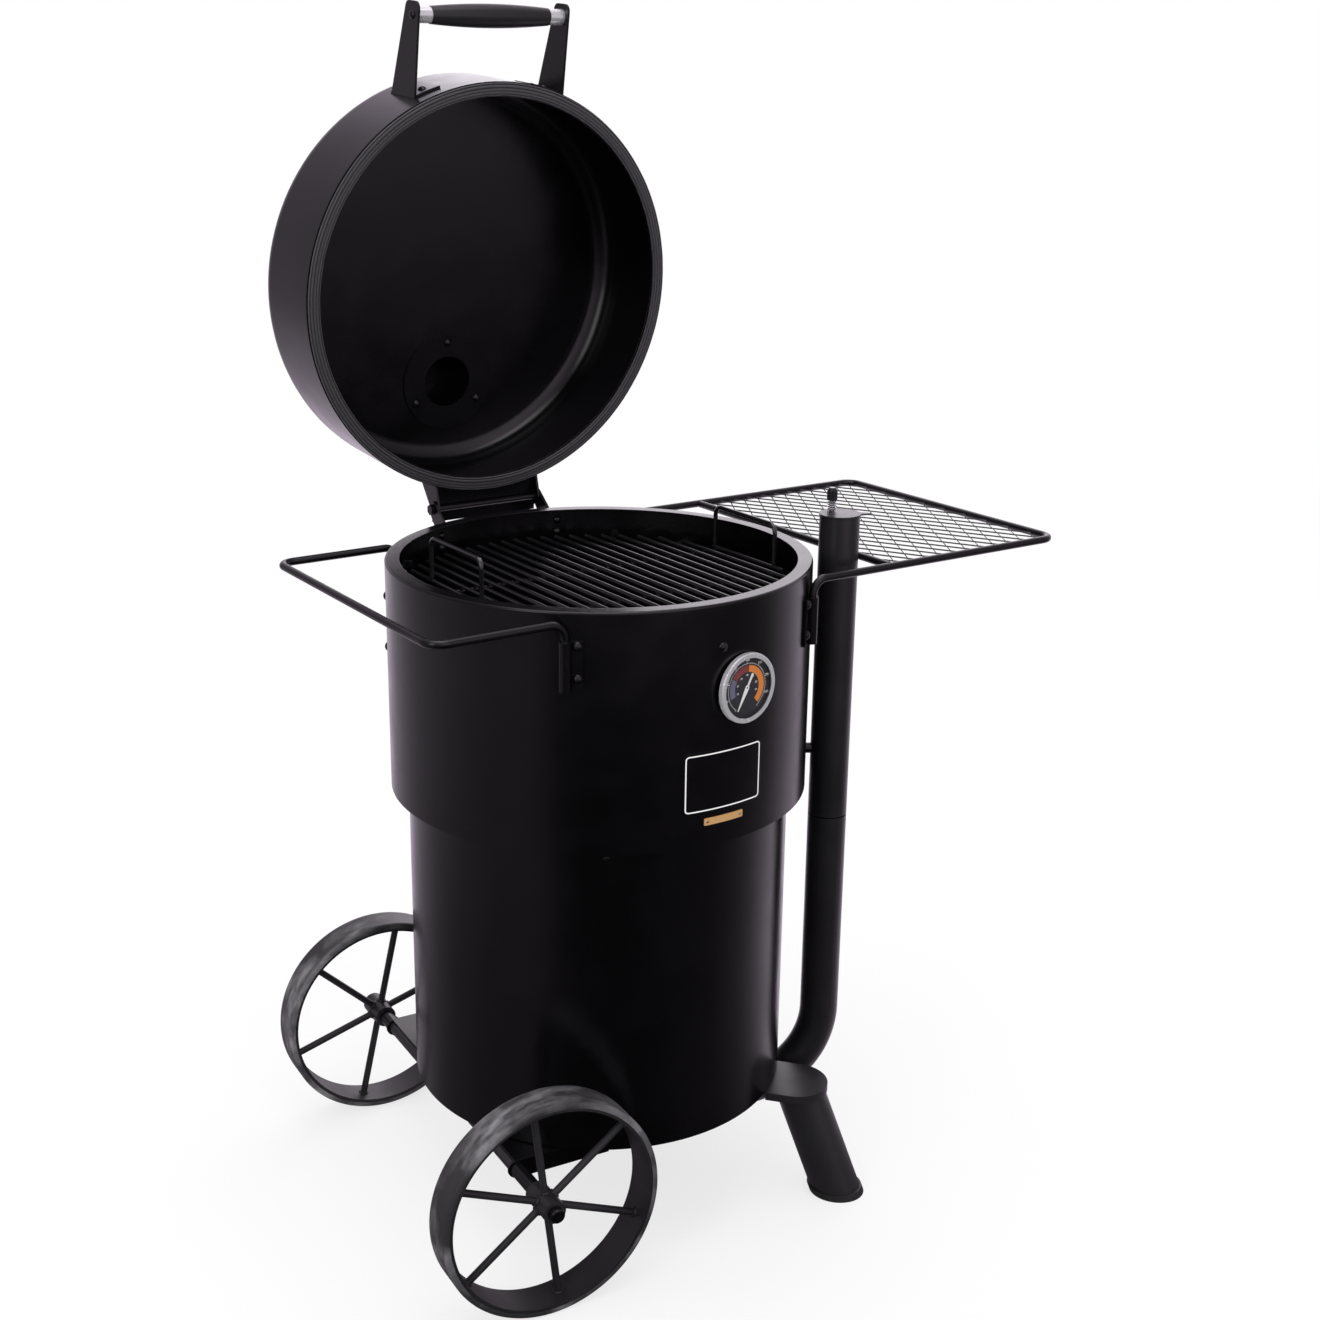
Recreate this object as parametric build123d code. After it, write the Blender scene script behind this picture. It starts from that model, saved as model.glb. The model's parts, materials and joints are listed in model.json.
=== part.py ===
from build123d import *
import os
from math import asin, atan2, ceil, cos, degrees, floor, hypot, radians, sin, sqrt

# Vertical drum smoker on two wagon wheels and two splayed legs, in millimetres.
# The origin is on the floor under the drum's axis. +Z is up, -Y is the front with the gauge,
# +X carries the wire shelf and -X the push handle and the wheels. The lid stands open at rest.

# Clearances
run_gap = 0.05          # radial, around a pin that something turns on
fit_gap = 0.05          # radial, around a bolt or tube that stays put
seat_gap = 0.3          # between a moving piece and what it rests on
weld_gap = 0.02         # between rods that are welded where they cross

# Drum
sheet = 2.0
drum_height = 711.0
upper_height = 300.0
upper_radius = 271.0
step_width = 22.5       # upper barrel wider than the lower one, on the radius
flange_width = 19.0
rim_round = 3.0
skirt_depth = 26.0
barrel_screw_angles = (-120.0, -30.0, 60.0, 150.0)
barrel_screw_drop = 11.0

# Lid
lid_open_angle = 85.0
lid_overhang = 0.5      # lid wider than the drum, on the radius
lid_depth = 146.0
lid_round = 30.0
gasket_thickness = 5.0
gasket_width = 18.6

# Hinge
hinge_back = 22.0       # pivot axis behind the drum wall
hinge_rise = 10.0       # pivot axis above the rim
pivot_radius = 4.0
pivot_head = 7.0
pivot_nut = 7.4
ear_round = 11.0
plate = 3.0             # thickness of the folded steel brackets
body_ear_half = 84.0    # outer face of each body ear from the middle
hinge_flange = 18.0     # body bracket beyond each ear
hinge_bolt_out = 8.0    # body bolts beyond each ear
hinge_bolt_drops = (18.0, 35.0)
hinge_plate_top = 7.0   # below the rim
hinge_plate_low = 47.0
lid_saddle_low = 6.0    # above the lid's edge
lid_saddle_high = 48.0
lid_hinge_bolt_half = 52.0
lid_web_tail = 20.0     # web between the lid's ears, behind the pivot axis

# Lid handle
handle_span = 215.0     # between the inner faces of its two brackets
handle_reach = 77.0     # grip axis beyond the lid wall
handle_rise = 32.0      # grip axis above the lid's edge
bracket_foot = 34.0
bracket_low = 24.0      # bracket's lower edge above the lid's edge
bracket_margin = 26.0   # bracket's upper edge below the round of the crown
bracket_top_half = 17.0
bracket_round = 10.0
grip_length = 172.0
grip_radius = 15.0
grip_end_radius = 11.0
ferrule_radius = 10.2
handle_bolt_inset = 16.0   # from the bracket's lower and upper edge

# Exhaust on the lid
stack_back = 153.0      # behind the lid's centre
stack_side = 8.0        # to the right of it
stack_radius = 38.0
stack_height = 85.0
stack_flange = 30.5     # flange beyond the pipe
stack_screw_out = 18.0  # screws beyond the pipe
stack_screw_count = 3
stack_tab_angle = -60.0

# Intake pipe
pipe_radius = 25.5
pipe_angle = -30.0
pipe_gap = 9.5          # between the upper barrel and the pipe
pipe_rise = 48.0        # top of the pipe above the rim
pipe_joint_drop = 358.0
joint_length = 22.0
joint_wall = 1.2        # upper pipe's neck inside the lower one
elbow_drop = 61.0       # elbow axis below the drum's underside
elbow_radii = (130.0, 55.0)   # at the outside of the drum and under its middle
elbow_flange = 21.0     # beyond the pipe, under the drum's floor
elbow_bolt_out = 11.0
elbow_bolt_count = 3
spigot_rise = 2.0       # above the drum's floor
standoff_rise = 34.0    # above the step between the barrels
standoff_radius = 7.0
intake_tab_angle = -32.0

# Dampers
damper_sheet = 2.0
damper_overlap = 1.0    # disc beyond the pipe's outside
damper_bolt_inset = 9.0  # bolt axis inside the pipe's outside
damper_bolt_radius = 3.0
damper_tab = 11.0
spring_radius = 5.0
spring_wire = 0.9
spring_turns = 4
spring_length = 12.0
knob_radius = 6.7
knob_height = 16.0
knob_grooves = 6
knob_groove = 1.3
knob_crown = 2.3

# Bar frames for the push handle and the shelf
bar_radius = 5.0
bar_half_width = 210.5
bar_drop = 12.0         # bar centre below the rim
handle_stand = 77.0     # push handle beyond the drum wall
shelf_gap = 34.0        # shelf's cross bar beyond the drum wall
shelf_depth = 284.0
bar_bend = 20.0
bar_wall_gap = 0.3
socket_drop = 33.0      # top of the socket below the rim
socket_height = 60.0
socket_wall = 2.5
socket_strip = 21.0
socket_bolt_side = 14.0
socket_bolt_drops = (7.0, 46.0)   # below the socket's top

# Shelf mesh of expanded metal
mesh_long = 42.5
mesh_short = 24.5
mesh_strand = 2.4
mesh_thickness = 1.6
mesh_least = 12.0       # smaller cut-off openings at the edge are left out
mesh_frame = 3.0        # solid edge that is welded to the bars

# Wheels, axle and legs
wheel_radius = 144.5
wheel_width = 47.5
tyre_thickness = 8.0
tyre_round = 4.8
rim_thickness = 4.0
rim_inset = 1.0         # rim narrower than the tyre at each side
base_turn = -4.4        # the base stands turned against the bars above, in degrees
wheel_x = -215.0
wheel_gap = 0.5         # each wheel beyond the lower barrel's radius
axle_drop = 12.5        # axle below the drum's underside
hub_radius = 15.0
hub_length = 50.0
axle_radius = 8.5
spoke_radius = 4.7
spoke_count = 6
spoke_starts = {"front_wheel": 23.0, "rear_wheel": 43.0}   # degrees below the axle's level
collar_wall = 1.2       # spacers and caps on the axle
cap_length = 10.0
axle_lug = 12.0         # round ends of the axle plate around the axle
axle_plate_ends = (-193.0, 216.0)
axle_plate_length = 130.0
axle_plate_depth = 25.0
axle_bolt_spots = ((104.0, 80.0), (104.0, -80.0), (29.0, 60.0), (29.0, -60.0))   # from the axle's middle
leg_angle = 43.5
leg_out = 31.5          # leg axis beyond the lower barrel, at the leg plate
leg_splay = 59.0        # further out on the floor
leg_radius = 32.0
leg_plate_margin = 11.5  # tongue plate beyond the tube at each side
leg_plate_inset = 98.5  # inner end of the tongue inside the lower barrel
leg_bolt_insets = (73.5, 33.5)
leg_skirt = 8.0
foot_wall = 2.5
foot_height = 9.0
foot_floor = 4.0

# Cooking grate and its supports
grate_clearance = 3.0   # between the grate and the rim flange
grate_drop = 35.0       # top of the wires below the rim
wire_radius = 3.0
wire_pitch = 19.7
grate_rod_y = 74.0
grate_handles = ((-9, 52.5), (12, 8.0))   # wire number and middle along it
grate_handle_length = 132.0
grate_handle_rise = 54.0
grate_handle_bend = 12.0
support_angles = (-90.0, 30.0, 150.0)
support_level_step = 67.4    # between the upper and the lower row of supports
support_half = 9.0
support_overlap = 14.0       # of each support under the grate
support_height = 20.0
support_bolt_drop = 12.0

# Charcoal basket and ash pan
pan_clearance = 31.5
pan_depth = 34.0
pan_foot_radius = 156.0
pan_foot_height = 9.0
pan_vent_width = 90.0   # gaps in the foot ring that let the air out
basket_clearance = 35.0
basket_height = 190.0
basket_sheet = 1.5
basket_ledge = 30.0
basket_ledge_width = 6.0
basket_slots = 24
basket_slot_width = 8.0
basket_band = 30.0      # plain band above the slots
basket_handle_rise = 80.0
basket_handle_bend = 40.0
basket_handle_radius = 4.0
basket_hole_radius = 7.0
basket_hole_pitch = 32.0

# Gauge, badge plate and trim strip on the front
gauge_angle = -82.9
gauge_drop = 108.2
gauge_radius = 43.0
bezel_wall = 3.0
bezel_lip = 1.0
gauge_step = 12.0       # front cup wider than the case behind it, on the radius
gauge_back_depth = 2.0
gauge_cup_depth = 4.0
gauge_wall = 1.5
gauge_stem_radius = 7.0
gauge_stem_length = 24.0
gauge_nut_height = 6.0
lens_thickness = 1.2
needle_pivot_radius = 1.0
needle_hub_radius = 3.0
needle_tail_radius = 1.6
needle_tip_radius = 0.5
needle_margin = 8.5     # pointer's tip inside the cup
needle_tail = 17.0
needle_angle = 242.0    # pointer direction at rest, counter-clockwise from the dial's right
front_angle = -88.6
badge_rise = 82.5       # middle above the step
badge_size = (116.0, 78.0)
badge_round = 8.0
strip_rise = 32.0
strip_size = (57.0, 9.0)
strip_round = 1.0
badge_thickness = 1.2

# Fasteners
bolt_radius = 3.0
bolt_head = 6.0
bolt_head_height = 3.6
nut_radius = 6.4
nut_height = 5.0
screw_radius = 2.0
screw_length = 10.0
screw_head = 4.2
screw_head_height = 2.4

# Sizes that follow
drum_bottom = wheel_radius + axle_drop
rim_height = drum_bottom + drum_height
step_height = rim_height - upper_height
lower_radius = upper_radius - step_width
lid_radius = upper_radius + lid_overhang
upper_inner = upper_radius - sheet
lower_inner = lower_radius - sheet
drum_floor = drum_bottom + sheet
lid_base = rim_height + seat_gap + gasket_thickness
lid_top = lid_base + lid_depth
lid_inner = lid_radius - sheet
hinge_y = upper_radius + hinge_back
hinge_z = rim_height + hinge_rise
pipe_distance = upper_radius + pipe_gap + pipe_radius
pipe_x = pipe_distance * cos(radians(pipe_angle))
pipe_y = pipe_distance * sin(radians(pipe_angle))
pipe_top = rim_height + pipe_rise
bar_height = rim_height - bar_drop
bar_distance = upper_radius + bar_wall_gap + bar_radius
bar_leg_x = sqrt(bar_distance ** 2 - bar_half_width ** 2)
handle_bar_reach = upper_radius + handle_stand
shelf_inner_reach = upper_radius + shelf_gap
shelf_reach = shelf_inner_reach + shelf_depth
wheel_y = lower_radius + wheel_gap + wheel_width / 2
leg_top = lower_radius + leg_out
leg_foot = leg_top + leg_splay
leg_plate_half = leg_radius + leg_plate_margin
leg_bolt_reaches = [lower_radius - inset for inset in leg_bolt_insets]
axle_bolt_places = [(wheel_x + x, y) for x, y in axle_bolt_spots]
base = Rot(0, 0, base_turn)
grate_radius = upper_radius - flange_width - grate_clearance
support_reach = grate_radius - support_overlap
pan_radius = lower_inner - pan_clearance
basket_radius = pan_radius - basket_clearance
gauge_cup_radius = gauge_radius - bezel_wall
gauge_case_radius = gauge_cup_radius - gauge_step
grate_top = rim_height - grate_drop
grate_under = grate_top - 2 * wire_radius
support_level = grate_under - seat_gap
hinge_axis = Axis((0, hinge_y, hinge_z), (1, 0, 0))
far = 4 * rim_height    # longer than the whole object, for cutting tools

os.makedirs("parts", exist_ok=True)


def save(name, *pieces):
    solids = [solid for piece in pieces for solid in piece.solids()]
    export_step(solids[0] if len(solids) == 1 else Compound(solids), f"parts/{name}.step")


def radial(angle, distance, height):
    # A place facing away from the drum's axis: X along the wall, Y up, Z straight out.
    out = (cos(radians(angle)), sin(radians(angle)), 0)
    origin = (distance * out[0], distance * out[1], height)
    return Plane(origin=origin, x_dir=(-out[1], out[0], 0), z_dir=out).location


def rod(radius, low, high):
    return Pos(0, 0, low) * Cylinder(radius, high - low, align=(Align.CENTER, Align.CENTER, Align.MIN))


def tube(outer, inner, low, high):
    return rod(outer, low, high) - rod(inner, low, high)


def block(x_range, y_range, z_range):
    corner = (Align.MIN, Align.MIN, Align.MIN)
    size = [high - low for low, high in (x_range, y_range, z_range)]
    return Pos(x_range[0], y_range[0], z_range[0]) * Box(*size, align=corner)


def spun(points, rounds=()):
    # Solid of revolution about Z from (radius, height) corners; rounds are (corner, radius).
    face = make_face(Polyline(*points, close=True).edges())
    for corner, radius in rounds:
        spot = Vector(*points[corner])
        face = fillet(face.vertices().sort_by_distance(spot)[0], radius)
    return revolve(Plane.XZ * face, Axis.Z)


def bent_rod(points, bends, radius):
    path = FilletPolyline(*points, radius=bends)
    return sweep(Plane(origin=path @ 0, z_dir=path % 0) * Circle(radius), path=path)


def dome_bolt(shank, length, head, height):
    # Domed head above Z = 0 and a plain shank below it.
    ball = (head ** 2 + height ** 2) / (2 * height)
    half = asin(head / ball) / 2
    middle = (ball * sin(half), height - ball + ball * cos(half))
    edges = Polyline((0, height), (0, -length), (shank, -length), (shank, 0), (head, 0)).edges()
    edges.append(ThreePointArc((head, 0), middle, (0, height)))
    return revolve(Plane.XZ * make_face(edges), Axis.Z)


def bolt(length):
    return dome_bolt(bolt_radius, length, bolt_head, bolt_head_height)


def nut(bore=bolt_radius, radius=nut_radius, height=nut_height):
    return extrude(RegularPolygon(radius, 6) - Circle(bore + fit_gap), height)


def bolt_hole(place, depth=10 * sheet, bore=bolt_radius):
    return place * rod(bore + fit_gap, -depth, depth)


def hollow(inner, reach):
    # How far a flat face that reaches this wide stands off the inside of a round wall.
    return inner - sqrt(inner ** 2 - reach ** 2) + weld_gap


def opened(piece):
    # The lid is drawn shut and then swung up about the hinge.
    return piece.rotate(hinge_axis, -lid_open_angle)


def turned_y(piece):
    # From lying along Z to lying along Y.
    return Rot(-90, 0, 0) * piece


def turned_x(piece):
    # From lying along Z to lying along X.
    return Rot(0, 90, 0) * piece


# Places of the bolts that go through the drum, each facing out
support_places = [radial(angle, upper_radius, support_level - support_bolt_drop - level * support_level_step)
                  for angle in support_angles for level in (0, 1)]
barrel_screw_places = [radial(angle, lower_radius, step_height - barrel_screw_drop)
                       for angle in barrel_screw_angles]
hinge_bolt_angle = degrees(asin((body_ear_half + hinge_bolt_out) / upper_radius))
hinge_bolt_places = [radial(90 + side * hinge_bolt_angle, upper_inner, rim_height - drop)
                     for side in (-1, 1) for drop in hinge_bolt_drops]
gauge_place = radial(gauge_angle, upper_radius + fit_gap, rim_height - gauge_drop)
standoff_place = radial(pipe_angle, upper_inner, step_height + standoff_rise)
leg_bolt_places = [(reach * cos(radians(side * leg_angle)), reach * sin(radians(side * leg_angle)))
                   for side in (-1, 1) for reach in leg_bolt_reaches]
elbow_bolt_reach = pipe_radius + elbow_bolt_out
elbow_bolt_places = [Rot(0, 0, number * 360 / elbow_bolt_count) * Pos(elbow_bolt_reach, 0, drum_floor)
                     for number in range(elbow_bolt_count)]
floor_bolt_places = [base * Pos(x, y, drum_floor) for x, y in (*axle_bolt_places, *leg_bolt_places)]
floor_bolt_places += elbow_bolt_places


# Sockets that hold the bar frames on the drum wall
def socket_place(side, end):
    angle = degrees(atan2(end * bar_half_width, side * bar_leg_x))
    return radial(angle, upper_radius, rim_height - socket_drop - socket_height)


def bar_socket(side, end):
    strip_side = side * end
    strip_range = sorted((0, strip_side * socket_strip))
    holder = Pos(0, 0, bar_wall_gap + bar_radius) * turned_y(rod(bar_radius + socket_wall, 0, socket_height))
    strip = block(strip_range, (0, socket_height), (-bar_radius, plate))
    wall = Pos(0, 0, -upper_radius) * turned_y(rod(upper_radius, -far, far))
    bar = Pos(0, 0, bar_wall_gap + bar_radius) * turned_y(rod(bar_radius + fit_gap, -far, far))
    holes = [bolt_hole(Pos(strip_side * socket_bolt_side, socket_height - drop, 0))
             for drop in socket_bolt_drops]
    return socket_place(side, end) * (holder + strip - wall - bar - holes)


socket_bolt_places = [socket_place(side, end)
                      * Pos(side * end * socket_bolt_side, socket_height - drop, plate)
                      for side in (-1, 1) for end in (-1, 1) for drop in socket_bolt_drops]

# Upper barrel: rolled wall, flat rim flange, and a stepped skirt inside the lower barrel
skirt_radius = lower_inner - fit_gap
upper_barrel = spun([
    (upper_radius, step_height), (upper_radius, rim_height),
    (upper_radius - flange_width, rim_height), (upper_radius - flange_width, rim_height - sheet),
    (upper_inner, rim_height - sheet), (upper_inner, step_height + sheet),
    (skirt_radius - sheet, step_height + sheet), (skirt_radius - sheet, step_height - skirt_depth),
    (skirt_radius, step_height - skirt_depth), (skirt_radius, step_height),
], rounds=[(1, rim_round)])
for place in (*support_places, *socket_bolt_places, *hinge_bolt_places, standoff_place):
    upper_barrel -= bolt_hole(place)
for place in barrel_screw_places:
    upper_barrel -= bolt_hole(place, bore=screw_radius)
upper_barrel -= gauge_place * rod(gauge_stem_radius + fit_gap, -gauge_stem_length, gauge_back_depth)
save("upper_barrel", upper_barrel)

# Lower barrel with its floor
lower_barrel = spun([
    (0, drum_bottom), (lower_radius, drum_bottom), (lower_radius, step_height),
    (lower_inner, step_height), (lower_inner, drum_floor), (0, drum_floor),
], rounds=[(1, sheet)])
for place in barrel_screw_places:
    lower_barrel -= bolt_hole(place, bore=screw_radius)
for place in floor_bolt_places:
    lower_barrel -= bolt_hole(place)
lower_barrel -= rod(pipe_radius + fit_gap, -far, far)
save("lower_barrel", lower_barrel)

save("barrel_screws", *[place * dome_bolt(screw_radius, screw_length, screw_head, screw_head_height)
                        for place in barrel_screw_places])

# Grate supports: angle tabs inside the wall, each on one bolt from outside
support_back = sqrt(upper_inner ** 2 - support_half ** 2)
supports = []
support_bolts = []
support_grip = upper_radius - support_back + plate
for place in support_places:
    back = support_back - upper_radius
    upright = block((-support_half, support_half), (support_bolt_drop - support_height, support_bolt_drop),
                    (back - plate, back))
    arm = block((-support_half, support_half), (support_bolt_drop - plate, support_bolt_drop),
                (support_reach - upper_radius, back))
    supports.append(place * (upright + arm - rod(bolt_radius + fit_gap, -far, far)))
    support_bolts.append(place * bolt(support_grip + nut_height))
    support_bolts.append(place * Pos(0, 0, -support_grip - nut_height) * nut())
save("grate_supports", *supports)
save("grate_support_bolts", *support_bolts)

# Axle plate: a shallow tray under the drum's floor with the axle through its sides
axle_plate_top = drum_bottom
axle_plate_outer = wheel_x - plate
tray_low = axle_plate_top - axle_plate_depth
axle_plate_inner = wheel_x + axle_plate_length
axle_plate = block((axle_plate_outer, axle_plate_inner), axle_plate_ends, (tray_low, axle_plate_top))
axle_plate -= block((axle_plate_outer - plate, axle_plate_inner - plate),
                    (axle_plate_ends[0] + plate, axle_plate_ends[1] - plate),
                    (tray_low - plate, axle_plate_top - plate))
for low_y in (axle_plate_ends[0], axle_plate_ends[1] - plate):
    axle_plate += Pos(wheel_x, 0, wheel_radius) * turned_y(rod(axle_lug, low_y, low_y + plate))
axle_plate -= Pos(wheel_x, 0, wheel_radius) * turned_y(rod(axle_radius + fit_gap, -far, far))
for x, y in axle_bolt_places:
    axle_plate -= bolt_hole(Pos(x, y, axle_plate_top))
save("axle_plate", base * axle_plate)

# Axle with spacers inside the wheels and press-on caps outside them
hub_inner = wheel_y - hub_length / 2
hub_outer = wheel_y + hub_length / 2
axle_end = hub_outer + seat_gap + cap_length - plate
axle_place = base * Pos(wheel_x, 0, wheel_radius)
save("axle", axle_place * turned_y(rod(axle_radius, -axle_end, axle_end)))
collar_inner = axle_radius + fit_gap
collar_outer = collar_inner + collar_wall
spacers = []
caps = []
for side, plate_end in zip((-1, 1), axle_plate_ends):
    spacer_ends = sorted((plate_end + side * fit_gap, side * (hub_inner - seat_gap)))
    spacers.append(axle_place * turned_y(tube(collar_outer, collar_inner, *spacer_ends)))
    cap = spun([(0, cap_length), (0, cap_length - plate), (collar_inner, cap_length - plate),
                (collar_inner, 0), (collar_outer, 0), (collar_outer, cap_length)],
               rounds=[(5, plate)])
    caps.append(axle_place * Rot(-90 * side, 0, 0) * Pos(0, 0, hub_outer + seat_gap) * cap)
save("axle_collars", *spacers, *caps)


# Wheels: rubber band on a flat steel rim, round spokes let into a short hub
def wheel(name, side):
    place = axle_place * Pos(0, side * wheel_y, 0) * Rot(-90, 0, 0)
    half = wheel_width / 2
    rim_outer = wheel_radius - tyre_thickness
    rim_inner = rim_outer - rim_thickness
    tyre_inner = rim_outer + fit_gap
    tyre = spun([(tyre_inner, -half), (wheel_radius, -half), (wheel_radius, half), (tyre_inner, half)],
                rounds=[(1, tyre_round), (2, tyre_round)])
    rim = tube(rim_outer, rim_inner, rim_inset - half, half - rim_inset)
    hub = tube(hub_radius, axle_radius + run_gap, -hub_length / 2, hub_length / 2)
    spoke_end = sqrt(rim_inner ** 2 - spoke_radius ** 2) - weld_gap
    spoke_root = (axle_radius + hub_radius) / 2
    spokes = []
    for number in range(spoke_count):
        turn = Rot(0, 0, spoke_starts[name] + number * 360 / spoke_count)
        spokes.append(turn * turned_x(rod(spoke_radius, spoke_root, spoke_end)))
        hub -= turn * turned_x(rod(spoke_radius + fit_gap, spoke_root - weld_gap, spoke_end))
    save(f"{name}_tyre", place * tyre)
    save(f"{name}_rim", place * rim)
    save(f"{name}_spokes", place * hub, *[place * spoke for spoke in spokes])


wheel("front_wheel", -1)
wheel("rear_wheel", 1)

# Legs: a tongue plate under the floor, a slanting tube and a plastic foot
leg_rise = drum_bottom - plate
leg_lean = atan2(leg_foot - leg_top, leg_rise)


def tongue(half):
    # Flat outline with a straight inner end and a round outer end over the leg.
    round_end = (Pos(leg_top - plate, 0) * Circle(half)).edges()
    inner_end = (Pos(lower_radius - leg_plate_inset, 0) * Rectangle(plate, 2 * half)).edges()
    return make_hull([*round_end, *inner_end])


leg_plates = []
leg_tubes = []
feet = []
for side in (-1, 1):
    swing = base * Rot(0, 0, side * leg_angle)
    top = Pos(0, 0, drum_bottom - plate) * extrude(tongue(leg_plate_half), plate)
    skirt = extrude(tongue(leg_plate_half) - tongue(leg_plate_half - plate), leg_skirt)
    skirt -= rod(lower_radius, -far, far)
    leg_plate = top + Pos(0, 0, drum_bottom - plate - leg_skirt) * skirt
    for reach in leg_bolt_reaches:
        leg_plate -= bolt_hole(Pos(reach, 0, drum_bottom))
    leg_plates.append(swing * leg_plate)
    lean = Pos(leg_foot, 0, 0) * Rot(0, -degrees(leg_lean), 0)
    span = block((-far, far), (-far, far), (foot_floor, leg_rise))
    leg_tubes.append(swing * (lean * tube(leg_radius, leg_radius - sheet, -far, far) & span))
    socket = lean * rod(leg_radius + fit_gap, -far, far) & span
    foot_span = block((-far, far), (-far, far), (0, foot_height))
    foot = lean * rod(leg_radius + foot_wall, -far, far) & foot_span
    feet.append(swing * (foot - socket))
save("leg_plates", *leg_plates)
save("leg_tubes", *leg_tubes)
save("feet", *feet)

# Bolts through the drum's floor, heads inside and nuts under the plates
floor_bolts = []
for place in floor_bolt_places:
    floor_bolts.append(place * bolt(sheet + plate + nut_height))
    floor_bolts.append(place * Pos(0, 0, -sheet - plate - nut_height) * nut())
save("floor_bolts", *floor_bolts)


# Push handle and shelf frame: one bent bar each, standing in the sockets
def bar_loop(side, reach):
    leg_x = side * bar_leg_x
    low = rim_height - socket_drop - socket_height
    points = [(leg_x, -bar_half_width, low), (leg_x, -bar_half_width, bar_height),
              (side * reach, -bar_half_width, bar_height), (side * reach, bar_half_width, bar_height),
              (leg_x, bar_half_width, bar_height), (leg_x, bar_half_width, low)]
    return bent_rod(points, [bar_bend] * 4, bar_radius)


save("push_handle", bar_loop(-1, handle_bar_reach))
cross_half = bar_half_width - bar_radius - weld_gap
shelf_cross = Pos(shelf_inner_reach, 0, bar_height) * turned_y(rod(bar_radius, -cross_half, cross_half))
save("shelf_frame", bar_loop(1, shelf_reach), shelf_cross)
save("bar_sockets", *[bar_socket(side, end) for side in (-1, 1) for end in (-1, 1)])
socket_bolts = []
socket_grip = plate + sheet + hollow(upper_inner, socket_bolt_side + nut_radius)
for place in socket_bolt_places:
    socket_bolts.append(place * bolt(socket_grip + nut_height))
    socket_bolts.append(place * Pos(0, 0, -socket_grip - nut_height) * nut())
save("socket_bolts", *socket_bolts)

# Shelf mesh: flat sheet with staggered diamond openings, long way along Y
mesh_x = (shelf_inner_reach + bar_radius + weld_gap, shelf_reach - bar_radius - weld_gap)
mesh_y = bar_half_width - bar_radius - weld_gap
mesh_middle = sum(mesh_x) / 2
mesh_half_x = (mesh_x[1] - mesh_x[0]) / 2
mesh_corner = bar_bend - bar_radius
outline = RectangleRounded(2 * mesh_half_x, 2 * mesh_y, mesh_corner)
open_outline = RectangleRounded(2 * (mesh_half_x - mesh_frame), 2 * (mesh_y - mesh_frame),
                                mesh_corner - mesh_frame)
diamond_half_x = mesh_short / 2 - mesh_strand / 2
diamond_half_y = diamond_half_x * mesh_long / mesh_short
columns = ceil(2 * mesh_half_x / mesh_short)
rows = ceil(2 * mesh_y / mesh_long)
mesh_openings = []
for column in range(-columns, columns + 1):
    for row in range(-rows, rows + 1):
        if (column + row) % 2 == 0:
            x = column * mesh_short / 2
            y = row * mesh_long / 2
            diamond = Polygon((x - diamond_half_x, y), (x, y - diamond_half_y),
                              (x + diamond_half_x, y), (x, y + diamond_half_y), align=None)
            shared = diamond & open_outline
            for face in shared.faces() if shared else []:
                if face.area > mesh_least:
                    mesh_openings.append(face.outer_wire())
sheet_face = Face(outline.face().outer_wire(), mesh_openings)
mesh_place = Pos(mesh_middle, 0, bar_height - mesh_thickness / 2)
save("shelf_mesh", mesh_place * extrude(sheet_face, mesh_thickness, dir=(0, 0, 1)))


# Dampers: a disc with a thumb tab that swings on a bolt, held down by a spring under a knob
def damper_disc(radius, tab_angle):
    outer = radius + damper_overlap
    tip = outer + damper_tab
    tab = make_hull([*Circle(outer / 2).edges(), *(Pos(tip, 0) * Circle(damper_sheet)).edges()])
    disc = Circle(outer) + Rot(0, 0, tab_angle) * tab
    disc -= Pos(0, radius - damper_bolt_inset) * Circle(damper_bolt_radius + run_gap)
    return Pos(0, 0, seat_gap) * extrude(disc, damper_sheet)


def damper_seat(radius):
    # Shelf welded across the back of the pipe's mouth, which the bolt stands in.
    inner = radius - sheet + weld_gap
    front = radius - damper_bolt_inset - 2 * damper_bolt_radius
    shelf = Circle(inner) & Pos(0, front + radius) * Rectangle(4 * radius, 2 * radius)
    shelf -= Pos(0, radius - damper_bolt_inset) * Circle(damper_bolt_radius + fit_gap)
    return Pos(0, 0, -sheet) * extrude(shelf, sheet)


spring_low = seat_gap + damper_sheet + seat_gap
knob_low = spring_low + spring_length + 2 * spring_wire


def damper_bolt(radius):
    seat = Pos(0, radius - damper_bolt_inset, -sheet) * Rot(180, 0, 0)
    length = sheet + knob_low + knob_height / 2
    return seat * dome_bolt(damper_bolt_radius, length, screw_head, screw_head_height)


def damper_spring(radius):
    coil = Helix(spring_length / spring_turns, spring_length, spring_radius)
    wire = sweep(Plane(origin=coil @ 0, z_dir=coil % 0) * Circle(spring_wire), path=coil, is_frenet=True)
    return Pos(0, radius - damper_bolt_inset, spring_low + spring_wire) * wire


def damper_knob(radius):
    bore = damper_bolt_radius + fit_gap
    bore_top = knob_height / 2 + fit_gap
    shoulder = knob_height - 2 * knob_crown
    knob = spun([
        (bore, 0), (knob_radius, 0), (knob_radius, shoulder), (knob_radius - knob_crown, knob_height),
        (0, knob_height), (0, bore_top), (bore, bore_top),
    ], rounds=[(3, knob_crown)])
    for number in range(knob_grooves):
        groove = Pos(knob_radius + weld_gap, 0, 0) * rod(knob_groove, 2 * knob_groove, knob_height)
        knob -= Rot(0, 0, number * 360 / knob_grooves) * groove
    return Pos(0, radius - damper_bolt_inset, knob_low) * knob


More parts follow.
